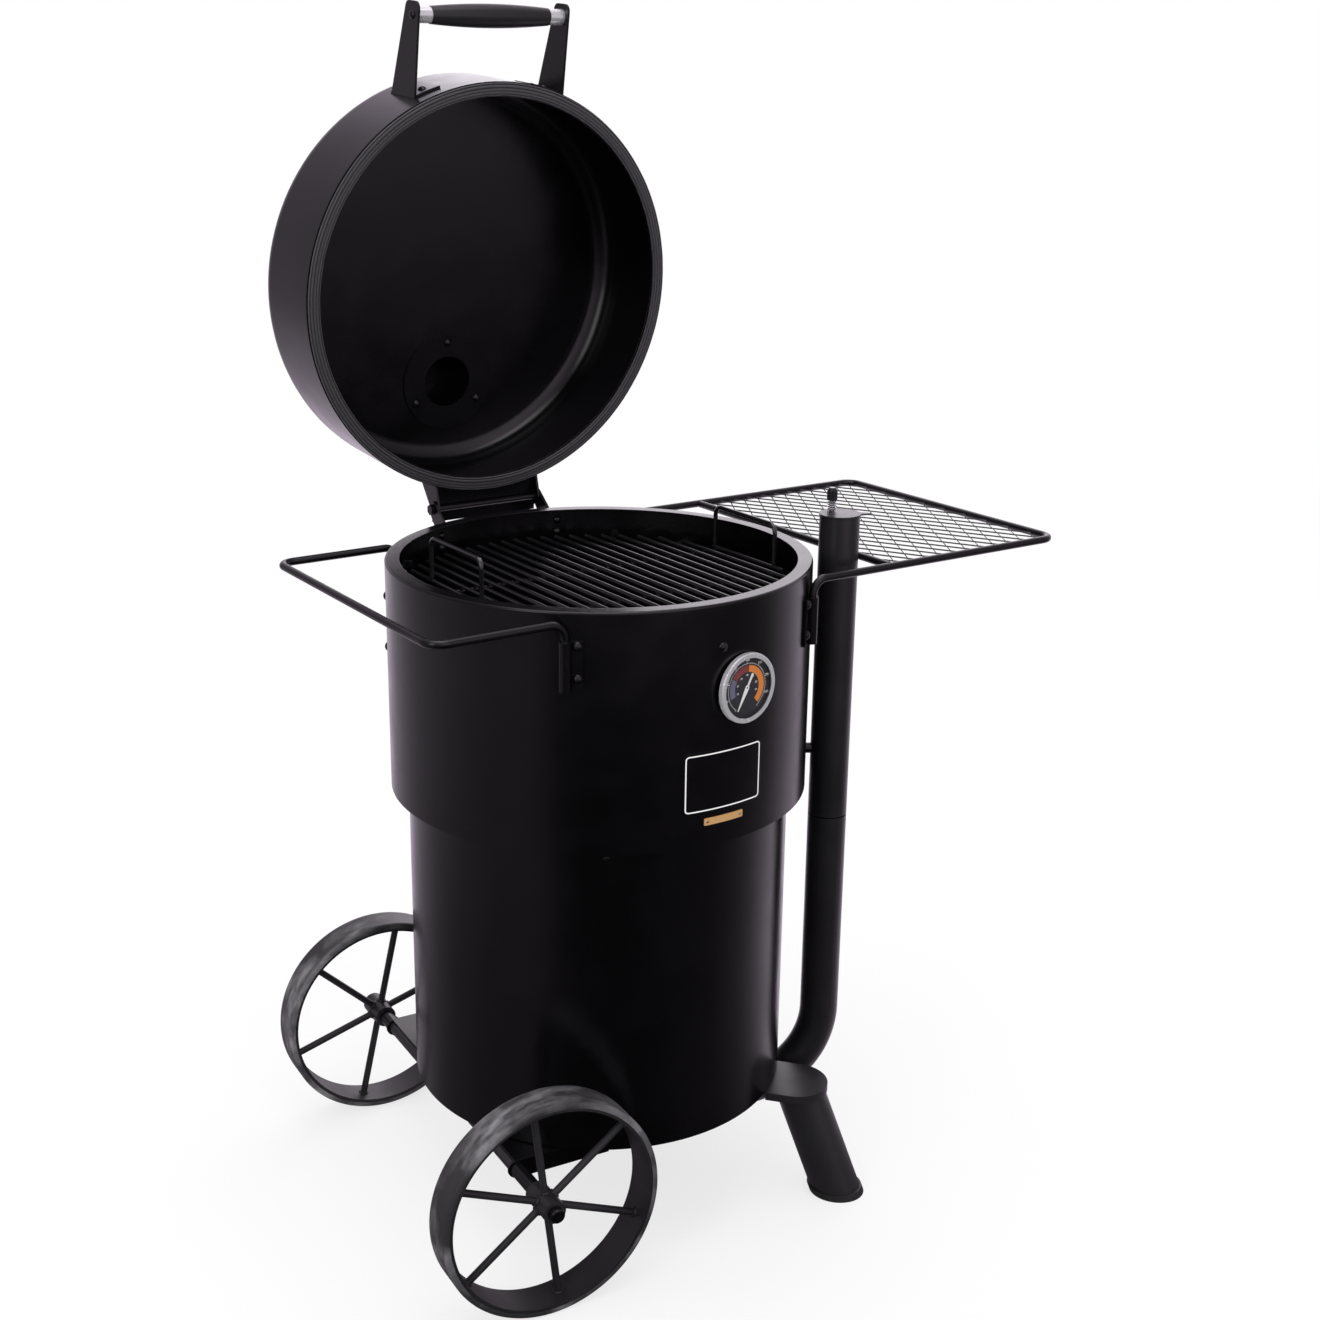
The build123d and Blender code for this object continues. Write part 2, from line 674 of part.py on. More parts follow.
# Intake pipe: straight upper length necked into the lower one, which bends under the drum
intake_place = Pos(pipe_x, pipe_y, 0)
joint_height = rim_height - pipe_joint_drop
pipe_inner = pipe_radius - sheet
neck_outer = pipe_inner - fit_gap
neck_inner = neck_outer - joint_wall
intake_pipe = spun([
    (pipe_radius, pipe_top), (pipe_inner, pipe_top), (pipe_inner, joint_height + 2 * sheet),
    (neck_inner, joint_height), (neck_inner, joint_height - joint_length),
    (neck_outer, joint_height - joint_length), (neck_outer, joint_height),
    (pipe_radius, joint_height + sheet),
])
intake_pipe += Pos(0, 0, pipe_top) * damper_seat(pipe_radius)
intake_pipe = intake_place * intake_pipe - bolt_hole(standoff_place, depth=pipe_gap + 4 * sheet)
save("intake_pipe", intake_pipe)

elbow_height = drum_bottom - elbow_drop
elbow_path = FilletPolyline(
    (pipe_x, pipe_y, joint_height), (pipe_x, pipe_y, elbow_height),
    (0, 0, elbow_height), (0, 0, drum_floor + spigot_rise),
    radius=elbow_radii,
)
elbow_start = Plane(origin=elbow_path @ 0, z_dir=elbow_path % 0)
intake_elbow = sweep(elbow_start * (Circle(pipe_radius) - Circle(pipe_inner)), path=elbow_path)
intake_elbow += tube(pipe_radius + elbow_flange, pipe_radius - sheet / 2, drum_bottom - plate, drum_bottom)
for place in elbow_bolt_places:
    intake_elbow -= bolt_hole(place)
save("intake_elbow", intake_elbow)

# Standoff between the drum and the pipe, with a bolt from inside the drum
spacer = standoff_place * tube(standoff_radius, bolt_radius + fit_gap, 0, pipe_gap + pipe_radius)
spacer -= rod(upper_radius, -far, far)
spacer -= intake_place * rod(pipe_radius, -far, far)
standoff_bolt = standoff_place * Pos(0, 0, -hollow(upper_inner, bolt_head)) * Rot(180, 0, 0)
save("intake_standoff", spacer, standoff_bolt * bolt(pipe_gap + 3 * sheet))

intake_top = intake_place * Pos(0, 0, pipe_top)
save("intake_damper", intake_top * damper_disc(pipe_radius, intake_tab_angle))
save("intake_damper_spring", intake_top * damper_spring(pipe_radius))
save("intake_damper_knob", intake_top * damper_bolt(pipe_radius), intake_top * damper_knob(pipe_radius))

# Lid, drawn shut: rolled wall, flat edge flange, rounded crown
crown_inner = lid_round - sheet
lid_shell = spun([
    (0, lid_top), (lid_radius, lid_top), (lid_radius, lid_base), (lid_radius - flange_width, lid_base),
    (lid_radius - flange_width, lid_base + sheet), (lid_inner, lid_base + sheet),
    (lid_inner, lid_top - sheet), (0, lid_top - sheet),
], rounds=[(1, lid_round), (6, crown_inner)])
gasket_inner = lid_radius - (flange_width + gasket_width) / 2
lid_gasket = tube(gasket_inner + gasket_width, gasket_inner, lid_base - gasket_thickness, lid_base)

stack_place = Pos(stack_side, stack_back, lid_top)
stack_inner = stack_radius - sheet
stack_screw_places = [stack_place * Rot(0, 0, number * 360 / stack_screw_count - 90)
                      * Pos(stack_radius + stack_screw_out, 0, -2 * sheet)
                      for number in range(stack_screw_count)]
lid_shell -= stack_place * rod(stack_inner, -lid_round, lid_round)

# Handle brackets on the front of the lid, each with a foot folded along the wall
grip_y = -(lid_radius + handle_reach)
grip_z = lid_base + handle_rise
grip_place = Pos(0, grip_y, grip_z)
inner_face = handle_span / 2
foot_angle = degrees(asin((inner_face - bracket_foot / 2) / lid_radius))
bracket_base_y = -sqrt(lid_radius ** 2 - (inner_face + plate) ** 2) + plate
foot_low = lid_base + bracket_low
foot_high = lid_top - lid_round - bracket_margin
handle_bolt_heights = (foot_low + handle_bolt_inset, foot_high - handle_bolt_inset)
handle_bolt_places = [radial(-90 + side * foot_angle, lid_radius + plate, height)
                      for side in (-1, 1) for height in handle_bolt_heights]
handle_screw_places = [grip_place * Pos(side * (inner_face + plate), 0, 0) * Rot(0, 90 * side, 0)
                       for side in (-1, 1)]
brackets = []
for side in (-1, 1):
    web_points = [(bracket_base_y, foot_low), (bracket_base_y, foot_high),
                  (grip_y - bracket_top_half, grip_z + bracket_top_half),
                  (grip_y - bracket_top_half, grip_z - bracket_top_half)]
    web_face = make_face(Polyline(*web_points, close=True).edges())
    for corner in web_points[2:]:
        web_face = fillet(web_face.vertices().sort_by_distance(Vector(*corner))[0], bracket_round)
    web_low = inner_face if side > 0 else -inner_face - plate
    web = Pos(web_low, 0, 0) * extrude(Plane.YZ * web_face, plate)
    foot_span = block(sorted((side * (inner_face - bracket_foot), side * (inner_face + plate))),
                      (-far, 0), (foot_low, foot_high))
    foot = tube(lid_radius + plate, lid_radius, lid_base, lid_top) & foot_span
    brackets.append(web - rod(lid_radius, -far, far) + foot)
for place in handle_bolt_places:
    brackets = [bracket - bolt_hole(place) for bracket in brackets]
    lid_shell -= bolt_hole(place)
for place in handle_screw_places:
    brackets = [bracket - bolt_hole(place, depth=2 * plate) for bracket in brackets]

grip_half = grip_length / 2
grip_middle = ThreePointArc((grip_end_radius, -grip_half), (grip_radius, 0), (grip_end_radius, grip_half))
grip_edges = [grip_middle, *Polyline((grip_end_radius, grip_half), (0, grip_half), (0, -grip_half),
                                     (grip_end_radius, -grip_half)).edges()]
grip = revolve(Plane.XZ * make_face(grip_edges), Axis.Z)
screw_reach = handle_span / 2 - grip_half + plate + bracket_foot
for side in (-1, 1):
    bore_end = inner_face + plate - screw_reach - weld_gap
    grip -= rod(bolt_radius + fit_gap, *sorted((side * bore_end, side * far)))
ferrules = [tube(ferrule_radius, bolt_radius + fit_gap, *sorted((side * grip_half, side * inner_face)))
            for side in (-1, 1)]
handle_bolts = [place * bolt(screw_reach) for place in handle_screw_places]
lid_grip = plate + sheet + hollow(lid_inner, nut_radius)
for place in handle_bolt_places:
    handle_bolts.append(place * bolt(lid_grip + nut_height))
    handle_bolts.append(place * Pos(0, 0, -lid_grip - nut_height) * nut())

# Hinge: body ears outside, lid ears inside, one long pin with a nut through all four
body_ear_inner = body_ear_half - plate
lid_ear_outer = body_ear_inner - seat_gap
lid_ear_inner = lid_ear_outer - plate


def ear(low_x, wall_radius, low_z, high_z):
    # Plate across X, from the wall between two heights to a round end at the pivot.
    root_y = sqrt(wall_radius ** 2 - body_ear_half ** 2)
    root = Pos(root_y, (low_z + high_z) / 2) * Rectangle(2 * plate, high_z - low_z)
    shape = make_hull([*root.edges(), *(Pos(hinge_y, hinge_z) * Circle(ear_round)).edges()])
    shape -= Pos(hinge_y, hinge_z) * Circle(pivot_radius + run_gap)
    return Pos(low_x, 0, 0) * extrude(Plane.YZ * shape, plate)


body_low = rim_height - hinge_plate_low
body_high = rim_height - hinge_plate_top
strip_half = body_ear_half + hinge_flange
body_strip = block((-strip_half, strip_half), (0, far), (body_low, body_high))
hinge_body = tube(upper_radius + plate, upper_radius, body_low, body_high) & body_strip
for low_x in (-body_ear_half, body_ear_inner):
    hinge_body += ear(low_x, upper_radius, body_low, body_high) - rod(upper_radius, -far, far)
for place in hinge_bolt_places:
    hinge_body -= bolt_hole(place)
save("hinge_body_bracket", hinge_body)
hinge_bolts = []
hinge_grip = sheet + plate + weld_gap
for place in hinge_bolt_places:
    inside = place * Pos(0, 0, -hollow(upper_inner, bolt_head)) * Rot(180, 0, 0)
    hinge_bolts.append(inside * bolt(hinge_grip + nut_height))
    hinge_bolts.append(place * Pos(0, 0, hinge_grip) * nut())
save("hinge_body_bolts", *hinge_bolts)

pin = dome_bolt(pivot_radius, 2 * body_ear_half + nut_height, pivot_head, bolt_head_height)
pin = Pos(body_ear_half, hinge_y, hinge_z) * Rot(0, 90, 0) * pin
pin_nut = Pos(-body_ear_half, hinge_y, hinge_z) * Rot(0, -90, 0) * nut(pivot_radius, pivot_nut)
save("hinge_pivots", pin, pin_nut)

lid_low = lid_base + lid_saddle_low
lid_high = lid_base + lid_saddle_high
lid_strip = block((-lid_ear_outer, lid_ear_outer), (0, far), (lid_low, lid_high))
lid_hinge = tube(lid_radius + plate, lid_radius, lid_low, lid_high) & lid_strip
for low_x in (-lid_ear_outer, lid_ear_inner):
    lid_hinge += ear(low_x, lid_radius, lid_low, lid_high) - rod(lid_radius, -far, far)
web_low = hinge_z + pivot_radius + 2 * seat_gap
lid_web = block((-lid_ear_outer, lid_ear_outer), (0, hinge_y + lid_web_tail), (web_low, web_low + plate))
lid_hinge += lid_web - rod(lid_radius, -far, far)
lid_hinge_angle = degrees(asin(lid_hinge_bolt_half / lid_radius))
lid_hinge_places = [radial(90 + side * lid_hinge_angle, lid_radius + plate, (lid_low + lid_high) / 2 + plate)
                    for side in (-1, 1)]
lid_hinge_bolts = []
for place in lid_hinge_places:
    lid_shell -= bolt_hole(place)
    lid_hinge -= bolt_hole(place)
    lid_hinge_bolts.append(place * bolt(lid_grip + nut_height))
    lid_hinge_bolts.append(place * Pos(0, 0, -lid_grip - nut_height) * nut())

# Exhaust stack bolted through the crown to a ring inside the lid
stack_flange_radius = stack_radius + stack_flange
stack = rod(stack_flange_radius, 0, plate) + rod(stack_radius, 0, stack_height)
stack -= rod(stack_inner, -plate, stack_height + plate)
stack += Pos(0, 0, stack_height) * damper_seat(stack_radius)
stack = stack_place * stack
clamp_ring = stack_place * Pos(0, 0, -2 * sheet) * tube(stack_flange_radius, stack_inner, 0, sheet)
stack_screws = []
for place in stack_screw_places:
    lid_shell -= bolt_hole(place)
    stack -= bolt_hole(place)
    clamp_ring -= bolt_hole(place)
    stack_screws.append(place * Rot(180, 0, 0) * bolt(2 * sheet + plate + nut_height))
    stack_screws.append(place * Pos(0, 0, 2 * sheet + plate) * nut())

save("lid_shell", opened(lid_shell))
save("lid_gasket", opened(lid_gasket))
save("lid_handle_brackets", *[opened(bracket) for bracket in brackets])
save("lid_handle_grip", opened(grip_place * turned_x(grip)))
save("lid_handle_ferrules", *[opened(grip_place * turned_x(ferrule)) for ferrule in ferrules])
save("lid_handle_bolts", *[opened(piece) for piece in handle_bolts])
save("lid_hinge_bracket", opened(lid_hinge))
save("lid_hinge_bolts", *[opened(piece) for piece in lid_hinge_bolts])
save("exhaust_stack", opened(stack))
save("exhaust_clamp_ring", opened(clamp_ring))
save("exhaust_screws", *[opened(piece) for piece in stack_screws])
stack_mouth = stack_place * Pos(0, 0, stack_height)
save("exhaust_damper", opened(stack_mouth * damper_disc(stack_radius, stack_tab_angle)))
save("exhaust_damper_spring", opened(stack_mouth * damper_spring(stack_radius)))
save("exhaust_damper_knob", opened(stack_mouth * damper_bolt(stack_radius)),
     opened(stack_mouth * damper_knob(stack_radius)))

# Cooking grate: wires along Y on two rods, with a wire handle near each side
wire_count = floor((grate_radius - 2 * wire_radius) / wire_pitch)
wires = []
for number in range(-wire_count, wire_count + 1):
    x = number * wire_pitch
    half = sqrt(grate_radius ** 2 - x ** 2)
    wires.append(Pos(x, 0, grate_top - wire_radius) * turned_y(rod(wire_radius, -half, half)))
rod_z = grate_under - weld_gap - wire_radius
for y in (-grate_rod_y, grate_rod_y):
    half = sqrt(grate_radius ** 2 - y ** 2)
    wires.append(Pos(0, y, rod_z) * turned_x(rod(wire_radius, -half, half)))
save("cooking_grate", *wires)
handles = []
for number, middle in grate_handles:
    x = number * wire_pitch
    ends = (middle - grate_handle_length / 2, middle + grate_handle_length / 2)
    low = grate_top + weld_gap
    high = grate_top + grate_handle_rise
    handles.append(bent_rod([(x, ends[0], low), (x, ends[0], high), (x, ends[1], high), (x, ends[1], low)],
                            [grate_handle_bend] * 2, wire_radius))
save("grate_handles", *handles)

# Ash pan on a foot ring, with the charcoal basket standing in it
pan_low = drum_floor + seat_gap
pan_floor = pan_low + pan_foot_height
ash_pan = spun([
    (0, pan_floor), (pan_foot_radius - sheet, pan_floor), (pan_foot_radius - sheet, pan_low),
    (pan_foot_radius, pan_low), (pan_foot_radius, pan_floor), (pan_radius, pan_floor),
    (pan_radius, pan_floor + pan_depth), (pan_radius - sheet, pan_floor + pan_depth),
    (pan_radius - sheet, pan_floor + sheet), (0, pan_floor + sheet),
])
for turn in (45, 135):
    vent = block((-far, far), (-pan_vent_width / 2, pan_vent_width / 2), (pan_low, pan_floor))
    ash_pan -= Rot(0, 0, turn) * vent
save("ash_pan", ash_pan)
basket_low = pan_floor + sheet
basket_inner = basket_radius - basket_sheet
ledge_low = basket_low + basket_ledge
basket = spun([
    (basket_radius, basket_low), (basket_radius, basket_low + basket_height),
    (basket_inner, basket_low + basket_height), (basket_inner, ledge_low + plate),
    (basket_inner - basket_ledge_width, ledge_low + plate), (basket_inner - basket_ledge_width, ledge_low),
    (basket_inner, ledge_low), (basket_inner, basket_low),
])
slot_range = (ledge_low + plate + basket_slot_width, basket_low + basket_height - basket_band)
for number in range(basket_slots // 2):
    slot = block((-far, far), (-basket_slot_width / 2, basket_slot_width / 2), slot_range)
    basket -= Rot(0, 0, (number + 0.5) * 360 / basket_slots) * slot
save("charcoal_basket", basket)
grate_plate = Circle(basket_inner - fit_gap)
hole_reach = basket_inner - basket_ledge_width - basket_hole_radius
hole_rows = floor(hole_reach / basket_hole_pitch)
for column in range(-hole_rows, hole_rows + 1):
    for row in range(-hole_rows, hole_rows + 1):
        x = column * basket_hole_pitch
        y = row * basket_hole_pitch
        if hypot(x, y) <= hole_reach:
            grate_plate -= Pos(x, y) * Circle(basket_hole_radius)
save("basket_floor", Pos(0, 0, ledge_low + plate) * extrude(grate_plate, sheet))
bail_x = basket_inner - fit_gap - basket_handle_radius
bail_low = basket_low + basket_height - basket_band
bail_high = basket_low + basket_height + basket_handle_rise
bail_points = [(-bail_x, 0, bail_low), (-bail_x, 0, bail_high), (bail_x, 0, bail_high), (bail_x, 0, bail_low)]
save("basket_handle", bent_rod(bail_points, [basket_handle_bend] * 2, basket_handle_radius))

# Gauge: stepped case with a threaded stem and nut, dial, needle, glass and bezel
cup_floor = gauge_back_depth + gauge_wall
cup_top = gauge_back_depth + gauge_cup_depth
case_inner = gauge_case_radius - gauge_wall
cup_inner = gauge_cup_radius - gauge_wall
gauge_case = spun([
    (0, -gauge_stem_length), (gauge_stem_radius, -gauge_stem_length), (gauge_stem_radius, 0),
    (gauge_case_radius, 0), (gauge_case_radius, gauge_back_depth), (gauge_cup_radius, gauge_back_depth),
    (gauge_cup_radius, cup_top), (cup_inner, cup_top), (cup_inner, cup_floor), (case_inner, cup_floor),
    (case_inner, gauge_wall), (0, gauge_wall),
])
dial_thickness = gauge_wall / 2
dial_top = cup_floor + dial_thickness
dial_radius = cup_inner - fit_gap
pin_top = cup_top - seat_gap
dial = spun([(0, cup_floor), (dial_radius, cup_floor), (dial_radius, dial_top),
             (needle_pivot_radius, dial_top), (needle_pivot_radius, pin_top), (0, pin_top)])
needle_outline = make_hull([*Circle(needle_hub_radius).edges(),
                            *(Pos(cup_inner - needle_margin, 0) * Circle(needle_tip_radius)).edges()])
needle_outline += make_hull([*Circle(needle_pivot_radius).edges(),
                             *(Pos(-needle_tail, 0) * Circle(needle_tail_radius)).edges()])
needle_outline -= Circle(needle_pivot_radius + run_gap)
needle = Pos(0, 0, dial_top + seat_gap) * Rot(0, 0, needle_angle) * extrude(needle_outline, dial_thickness)
lens_top = cup_top + lens_thickness
lens = rod(gauge_cup_radius - fit_gap, cup_top, lens_top)
bezel_inner = cup_inner - gauge_wall
bezel = spun([
    (gauge_cup_radius + fit_gap, gauge_back_depth), (gauge_radius, gauge_back_depth),
    (gauge_radius, lens_top + bezel_lip), (bezel_inner, lens_top + bezel_lip),
    (bezel_inner, lens_top), (gauge_cup_radius + fit_gap, lens_top),
], rounds=[(2, gauge_wall)])
gauge_nut_seat = -sheet - fit_gap - hollow(upper_inner, 2 * gauge_stem_radius)
gauge_nut = nut(gauge_stem_radius, 2 * gauge_stem_radius, gauge_nut_height)
gauge_nut = Pos(0, 0, gauge_nut_seat - gauge_nut_height) * gauge_nut
for name, piece in (("gauge_case", gauge_case), ("gauge_dial", dial), ("gauge_needle", needle),
                    ("gauge_lens", lens), ("gauge_bezel", bezel), ("gauge_nut", gauge_nut)):
    save(name, gauge_place * piece)


# Plain badge plate and trim strip, rolled to the wall
def wall_plate(outline, height):
    placed = radial(front_angle, lower_radius, height) * extrude(outline, upper_radius)
    wall = tube(upper_radius + badge_thickness, upper_radius + fit_gap,
                height - badge_size[1], height + badge_size[1])
    return wall & placed


save("badge_plate", wall_plate(RectangleRounded(*badge_size, badge_round), step_height + badge_rise))
save("trim_strip", wall_plate(RectangleRounded(*strip_size, strip_round), step_height + strip_rise))
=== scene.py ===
import json
import math

import bpy
from mathutils import Matrix, Vector, noise


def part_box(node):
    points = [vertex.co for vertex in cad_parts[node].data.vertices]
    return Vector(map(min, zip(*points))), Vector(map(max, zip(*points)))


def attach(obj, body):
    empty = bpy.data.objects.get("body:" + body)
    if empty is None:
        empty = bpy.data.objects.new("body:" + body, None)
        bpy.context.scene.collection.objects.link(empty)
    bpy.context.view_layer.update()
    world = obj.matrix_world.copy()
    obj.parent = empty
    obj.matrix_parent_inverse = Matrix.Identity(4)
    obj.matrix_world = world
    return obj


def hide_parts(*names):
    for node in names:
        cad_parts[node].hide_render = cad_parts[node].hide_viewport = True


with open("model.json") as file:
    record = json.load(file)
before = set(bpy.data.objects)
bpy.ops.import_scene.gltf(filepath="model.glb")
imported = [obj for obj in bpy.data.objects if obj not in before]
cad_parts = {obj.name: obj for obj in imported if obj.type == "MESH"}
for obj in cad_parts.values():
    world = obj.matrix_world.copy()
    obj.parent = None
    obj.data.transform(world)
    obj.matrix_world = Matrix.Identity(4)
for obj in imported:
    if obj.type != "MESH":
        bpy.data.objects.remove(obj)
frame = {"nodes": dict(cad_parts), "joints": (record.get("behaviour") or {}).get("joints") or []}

nodes = frame["nodes"]
joints = {joint["name"]: joint for joint in frame["joints"]}
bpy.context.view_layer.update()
mm = 0.001
up = Vector((0.0, 0.0, 1.0))
print("drum smoker: frame with", len(nodes), "nodes")


# Small helpers for meshes

def addPiece(name, verts, faces, body, finish, smooth=True):
    mesh = bpy.data.meshes.new(name)
    mesh.from_pydata([tuple(v) for v in verts], [], faces)
    mesh.validate()
    mesh.update()
    for poly in mesh.polygons:
        poly.use_smooth = smooth
    piece = bpy.data.objects.new(name, mesh)
    bpy.context.scene.collection.objects.link(piece)
    mesh.materials.append(finish)
    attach(piece, body)
    return piece


def ringFaces(rings, sides, closeRings=True, first=0):
    faces = []
    for i in range(rings if closeRings else rings - 1):
        for j in range(sides):
            a = first + i * sides + j
            b = first + i * sides + (j + 1) % sides
            c = first + ((i + 1) % rings) * sides + (j + 1) % sides
            d = first + ((i + 1) % rings) * sides + j
            faces.append((a, b, c, d))
    return faces


def lidOpen(point):
    # the lid is drawn shut and swung up about its hinge
    hinge = Vector(joints["lid_hinge"]["pos_m"])
    swing = Matrix.Rotation(-math.radians(joints["lid_hinge"]["range_deg"][1]), 3, "X")
    return hinge + swing @ (Vector(point) - hinge)


# Small helpers for materials

def newFinish(name, color, rough, metal=0.0, specular=0.5):
    finish = bpy.data.materials.new(name)
    finish.use_nodes = True
    shader = finish.node_tree.nodes["Principled BSDF"]
    shader.inputs["Base Color"].default_value = (*color, 1.0)
    shader.inputs["Roughness"].default_value = rough
    shader.inputs["Metallic"].default_value = metal
    shader.inputs["Specular IOR Level"].default_value = specular
    return finish, finish.node_tree, shader


def plug(tree, value, socket):
    # an output is linked, a plain value is set on the input itself
    if isinstance(value, bpy.types.NodeSocket):
        tree.links.new(value, socket)
    elif value is not None:
        socket.default_value = value


def addNode(tree, kind, settings=None, **inputs):
    node = tree.nodes.new(kind)
    for key, value in (settings or {}).items():
        setattr(node, key, value)
    for key, value in inputs.items():
        plug(tree, value, node.inputs[key.replace("_", " ")])
    return node


def mathNode(tree, operation, first, second=None):
    node = addNode(tree, "ShaderNodeMath", {"operation": operation})
    plug(tree, first, node.inputs[0])
    plug(tree, second, node.inputs[1])
    return node.outputs[0]


def vectorNode(tree, operation, first, second=None):
    node = addNode(tree, "ShaderNodeVectorMath", {"operation": operation})
    plug(tree, first, node.inputs[0])
    plug(tree, second, node.inputs[1])
    return node.outputs["Value" if operation in ("LENGTH", "DISTANCE") else "Vector"]


def objectCoords(tree):
    return addNode(tree, "ShaderNodeTexCoord").outputs["Object"]


def objectNoise(tree, scale, detail, stretch=(1.0, 1.0, 1.0)):
    mapping = addNode(tree, "ShaderNodeMapping", Vector=objectCoords(tree), Scale=stretch)
    grain = addNode(tree, "ShaderNodeTexNoise", Vector=mapping.outputs["Vector"], Scale=scale, Detail=detail)
    return grain.outputs["Fac"]


def spread(tree, source, low, high, fromLow=0.3, fromHigh=0.7):
    ranged = addNode(tree, "ShaderNodeMapRange", Value=source, From_Min=fromLow, From_Max=fromHigh,
                     To_Min=low, To_Max=high)
    return ranged.outputs["Result"]


colorMix = {"factor": 0, "first": 6, "second": 7, "result": 2}   # the mix node's sockets for colours


def mixColors(tree, factor, first, second):
    mix = addNode(tree, "ShaderNodeMix", {"data_type": "RGBA"})
    plug(tree, factor, mix.inputs[colorMix["factor"]])
    for name, color in (("first", first), ("second", second)):
        isSocket = isinstance(color, bpy.types.NodeSocket)
        plug(tree, color if isSocket else (*color, 1.0), mix.inputs[colorMix[name]])
    return mix.outputs[colorMix["result"]]


def mixShaders(tree, factor, first, second):
    mix = addNode(tree, "ShaderNodeMixShader")
    for value, socket in zip((factor, first, second), mix.inputs):
        plug(tree, value, socket)
    return mix.outputs[0]


def addRelief(tree, shader, layers, edge=0.0):
    # layers are (height socket, depth in metres); edge softens sharp corners
    normal = None
    if edge:
        normal = addNode(tree, "ShaderNodeBevel", {"samples": 4}, Radius=edge).outputs["Normal"]
    for height, depth in layers:
        bump = addNode(tree, "ShaderNodeBump", Height=height, Strength=1.0, Distance=depth)
        plug(tree, normal, bump.inputs["Normal"])
        normal = bump.outputs["Normal"]
    plug(tree, normal, shader.inputs["Normal"])


# Powder coat and its kin

coat = {
    "dark": (0.0008, 0.0007, 0.0010),
    "light": (0.0019, 0.0016, 0.0023),
    "rough": (0.20, 0.27),
    "specular": 0.5,
    "cloudScale": 7.0,       # slow change of shade
    "smudgeScale": 23.0,     # hands and dust in the gloss
    "peelScale": 620.0,      # orange peel of the powder
    "peelDepth": 0.06 * mm,
    "waveScale": 5.0,        # slow dents of rolled sheet
    "waveDepth": 1.1 * mm,
    "edge": 0.9 * mm,        # how far corners look rounded
}
coats = {
    "drumCoat": coat,
    "barPaint": dict(coat, rough=(0.27, 0.36), waveDepth=0.0, peelDepth=0.04 * mm, edge=0.0),
    "wheelPaint": dict(coat, dark=(0.008, 0.0072, 0.0086), light=(0.022, 0.020, 0.0235),
                       rough=(0.34, 0.50), edge=0.6 * mm),
    "legPaint": dict(coat, dark=(0.0080, 0.0072, 0.0086), light=(0.0145, 0.0131, 0.0155),
                     rough=(0.36, 0.46), specular=0.7, edge=0.6 * mm),
    "pipePaint": dict(coat, dark=(0.0042, 0.0038, 0.0046), light=(0.0085, 0.0077, 0.0092),
                      rough=(0.30, 0.39), specular=0.8, edge=0.6 * mm),
    "ringPaint": dict(coat, dark=(0.0006, 0.0005, 0.0007), light=(0.0012, 0.0010, 0.0014),
                      rough=(0.30, 0.40), specular=0.3, edge=0.5 * mm),
    "boltBlack": dict(coat, rough=(0.24, 0.36), waveDepth=0.0, peelDepth=0.03 * mm, edge=0.5 * mm),
    "grateEnamel": dict(coat, dark=(0.005, 0.0047, 0.0053), light=(0.011, 0.0105, 0.0115),
                        rough=(0.11, 0.17), specular=1.0, waveDepth=0.0,
                        peelScale=300.0, peelDepth=0.05 * mm, edge=0.0),
    "stovePaint": dict(coat, dark=(0.016, 0.015, 0.0145), light=(0.035, 0.032, 0.030),
                       rough=(0.6, 0.8), specular=0.3, edge=0.6 * mm),
}


def powderCoat(name, settings):
    finish, tree, shader = newFinish(name, settings["dark"], settings["rough"][0],
                                     specular=settings["specular"])
    cloud = spread(tree, objectNoise(tree, settings["cloudScale"], 5.0), 0.0, 1.0)
    plug(tree, mixColors(tree, cloud, settings["dark"], settings["light"]), shader.inputs["Base Color"])
    smudge = objectNoise(tree, settings["smudgeScale"], 6.0)
    plug(tree, spread(tree, smudge, *settings["rough"]), shader.inputs["Roughness"])
    wave = objectNoise(tree, settings["waveScale"], 1.0)
    peel = objectNoise(tree, settings["peelScale"], 2.0)
    addRelief(tree, shader, [(wave, settings["waveDepth"]), (peel, settings["peelDepth"])], settings["edge"])
    return finish


# Scuffed rubber of the tyres

tread = {
    "base": (0.024, 0.0228, 0.0255),
    "scuff": (0.27, 0.26, 0.28),
    "rough": (0.36, 0.58),
    "patchScale": 13.0,
    "patchRange": (0.41, 0.70),
    "streakScale": 70.0,
    "streakStretch": (0.5, 1.3, 0.5),
    "streakRange": (0.36, 0.68),
    "streakLeast": 0.1,
    "streakDepth": 0.4 * mm,
    "grainScale": 900.0,
    "grainDepth": 0.15 * mm,
    "edge": 0.6 * mm,
}


def rubber(name):
    finish, tree, shader = newFinish(name, tread["base"], tread["rough"][0])
    patch = objectNoise(tree, tread["patchScale"], 8.0)
    streak = objectNoise(tree, tread["streakScale"], 6.0, tread["streakStretch"])
    patches = spread(tree, patch, 0.0, 1.0, *tread["patchRange"])
    streaks = spread(tree, streak, tread["streakLeast"], 1.0, *tread["streakRange"])
    scuffed = mathNode(tree, "MULTIPLY", patches, streaks)
    plug(tree, mixColors(tree, scuffed, tread["base"], tread["scuff"]), shader.inputs["Base Color"])
    plug(tree, spread(tree, patch, *tread["rough"]), shader.inputs["Roughness"])
    grain = objectNoise(tree, tread["grainScale"], 2.0)
    addRelief(tree, shader, [(streak, tread["streakDepth"]), (grain, tread["grainDepth"])], tread["edge"])
    return finish


# Bare metals: fine lines from turning or brushing

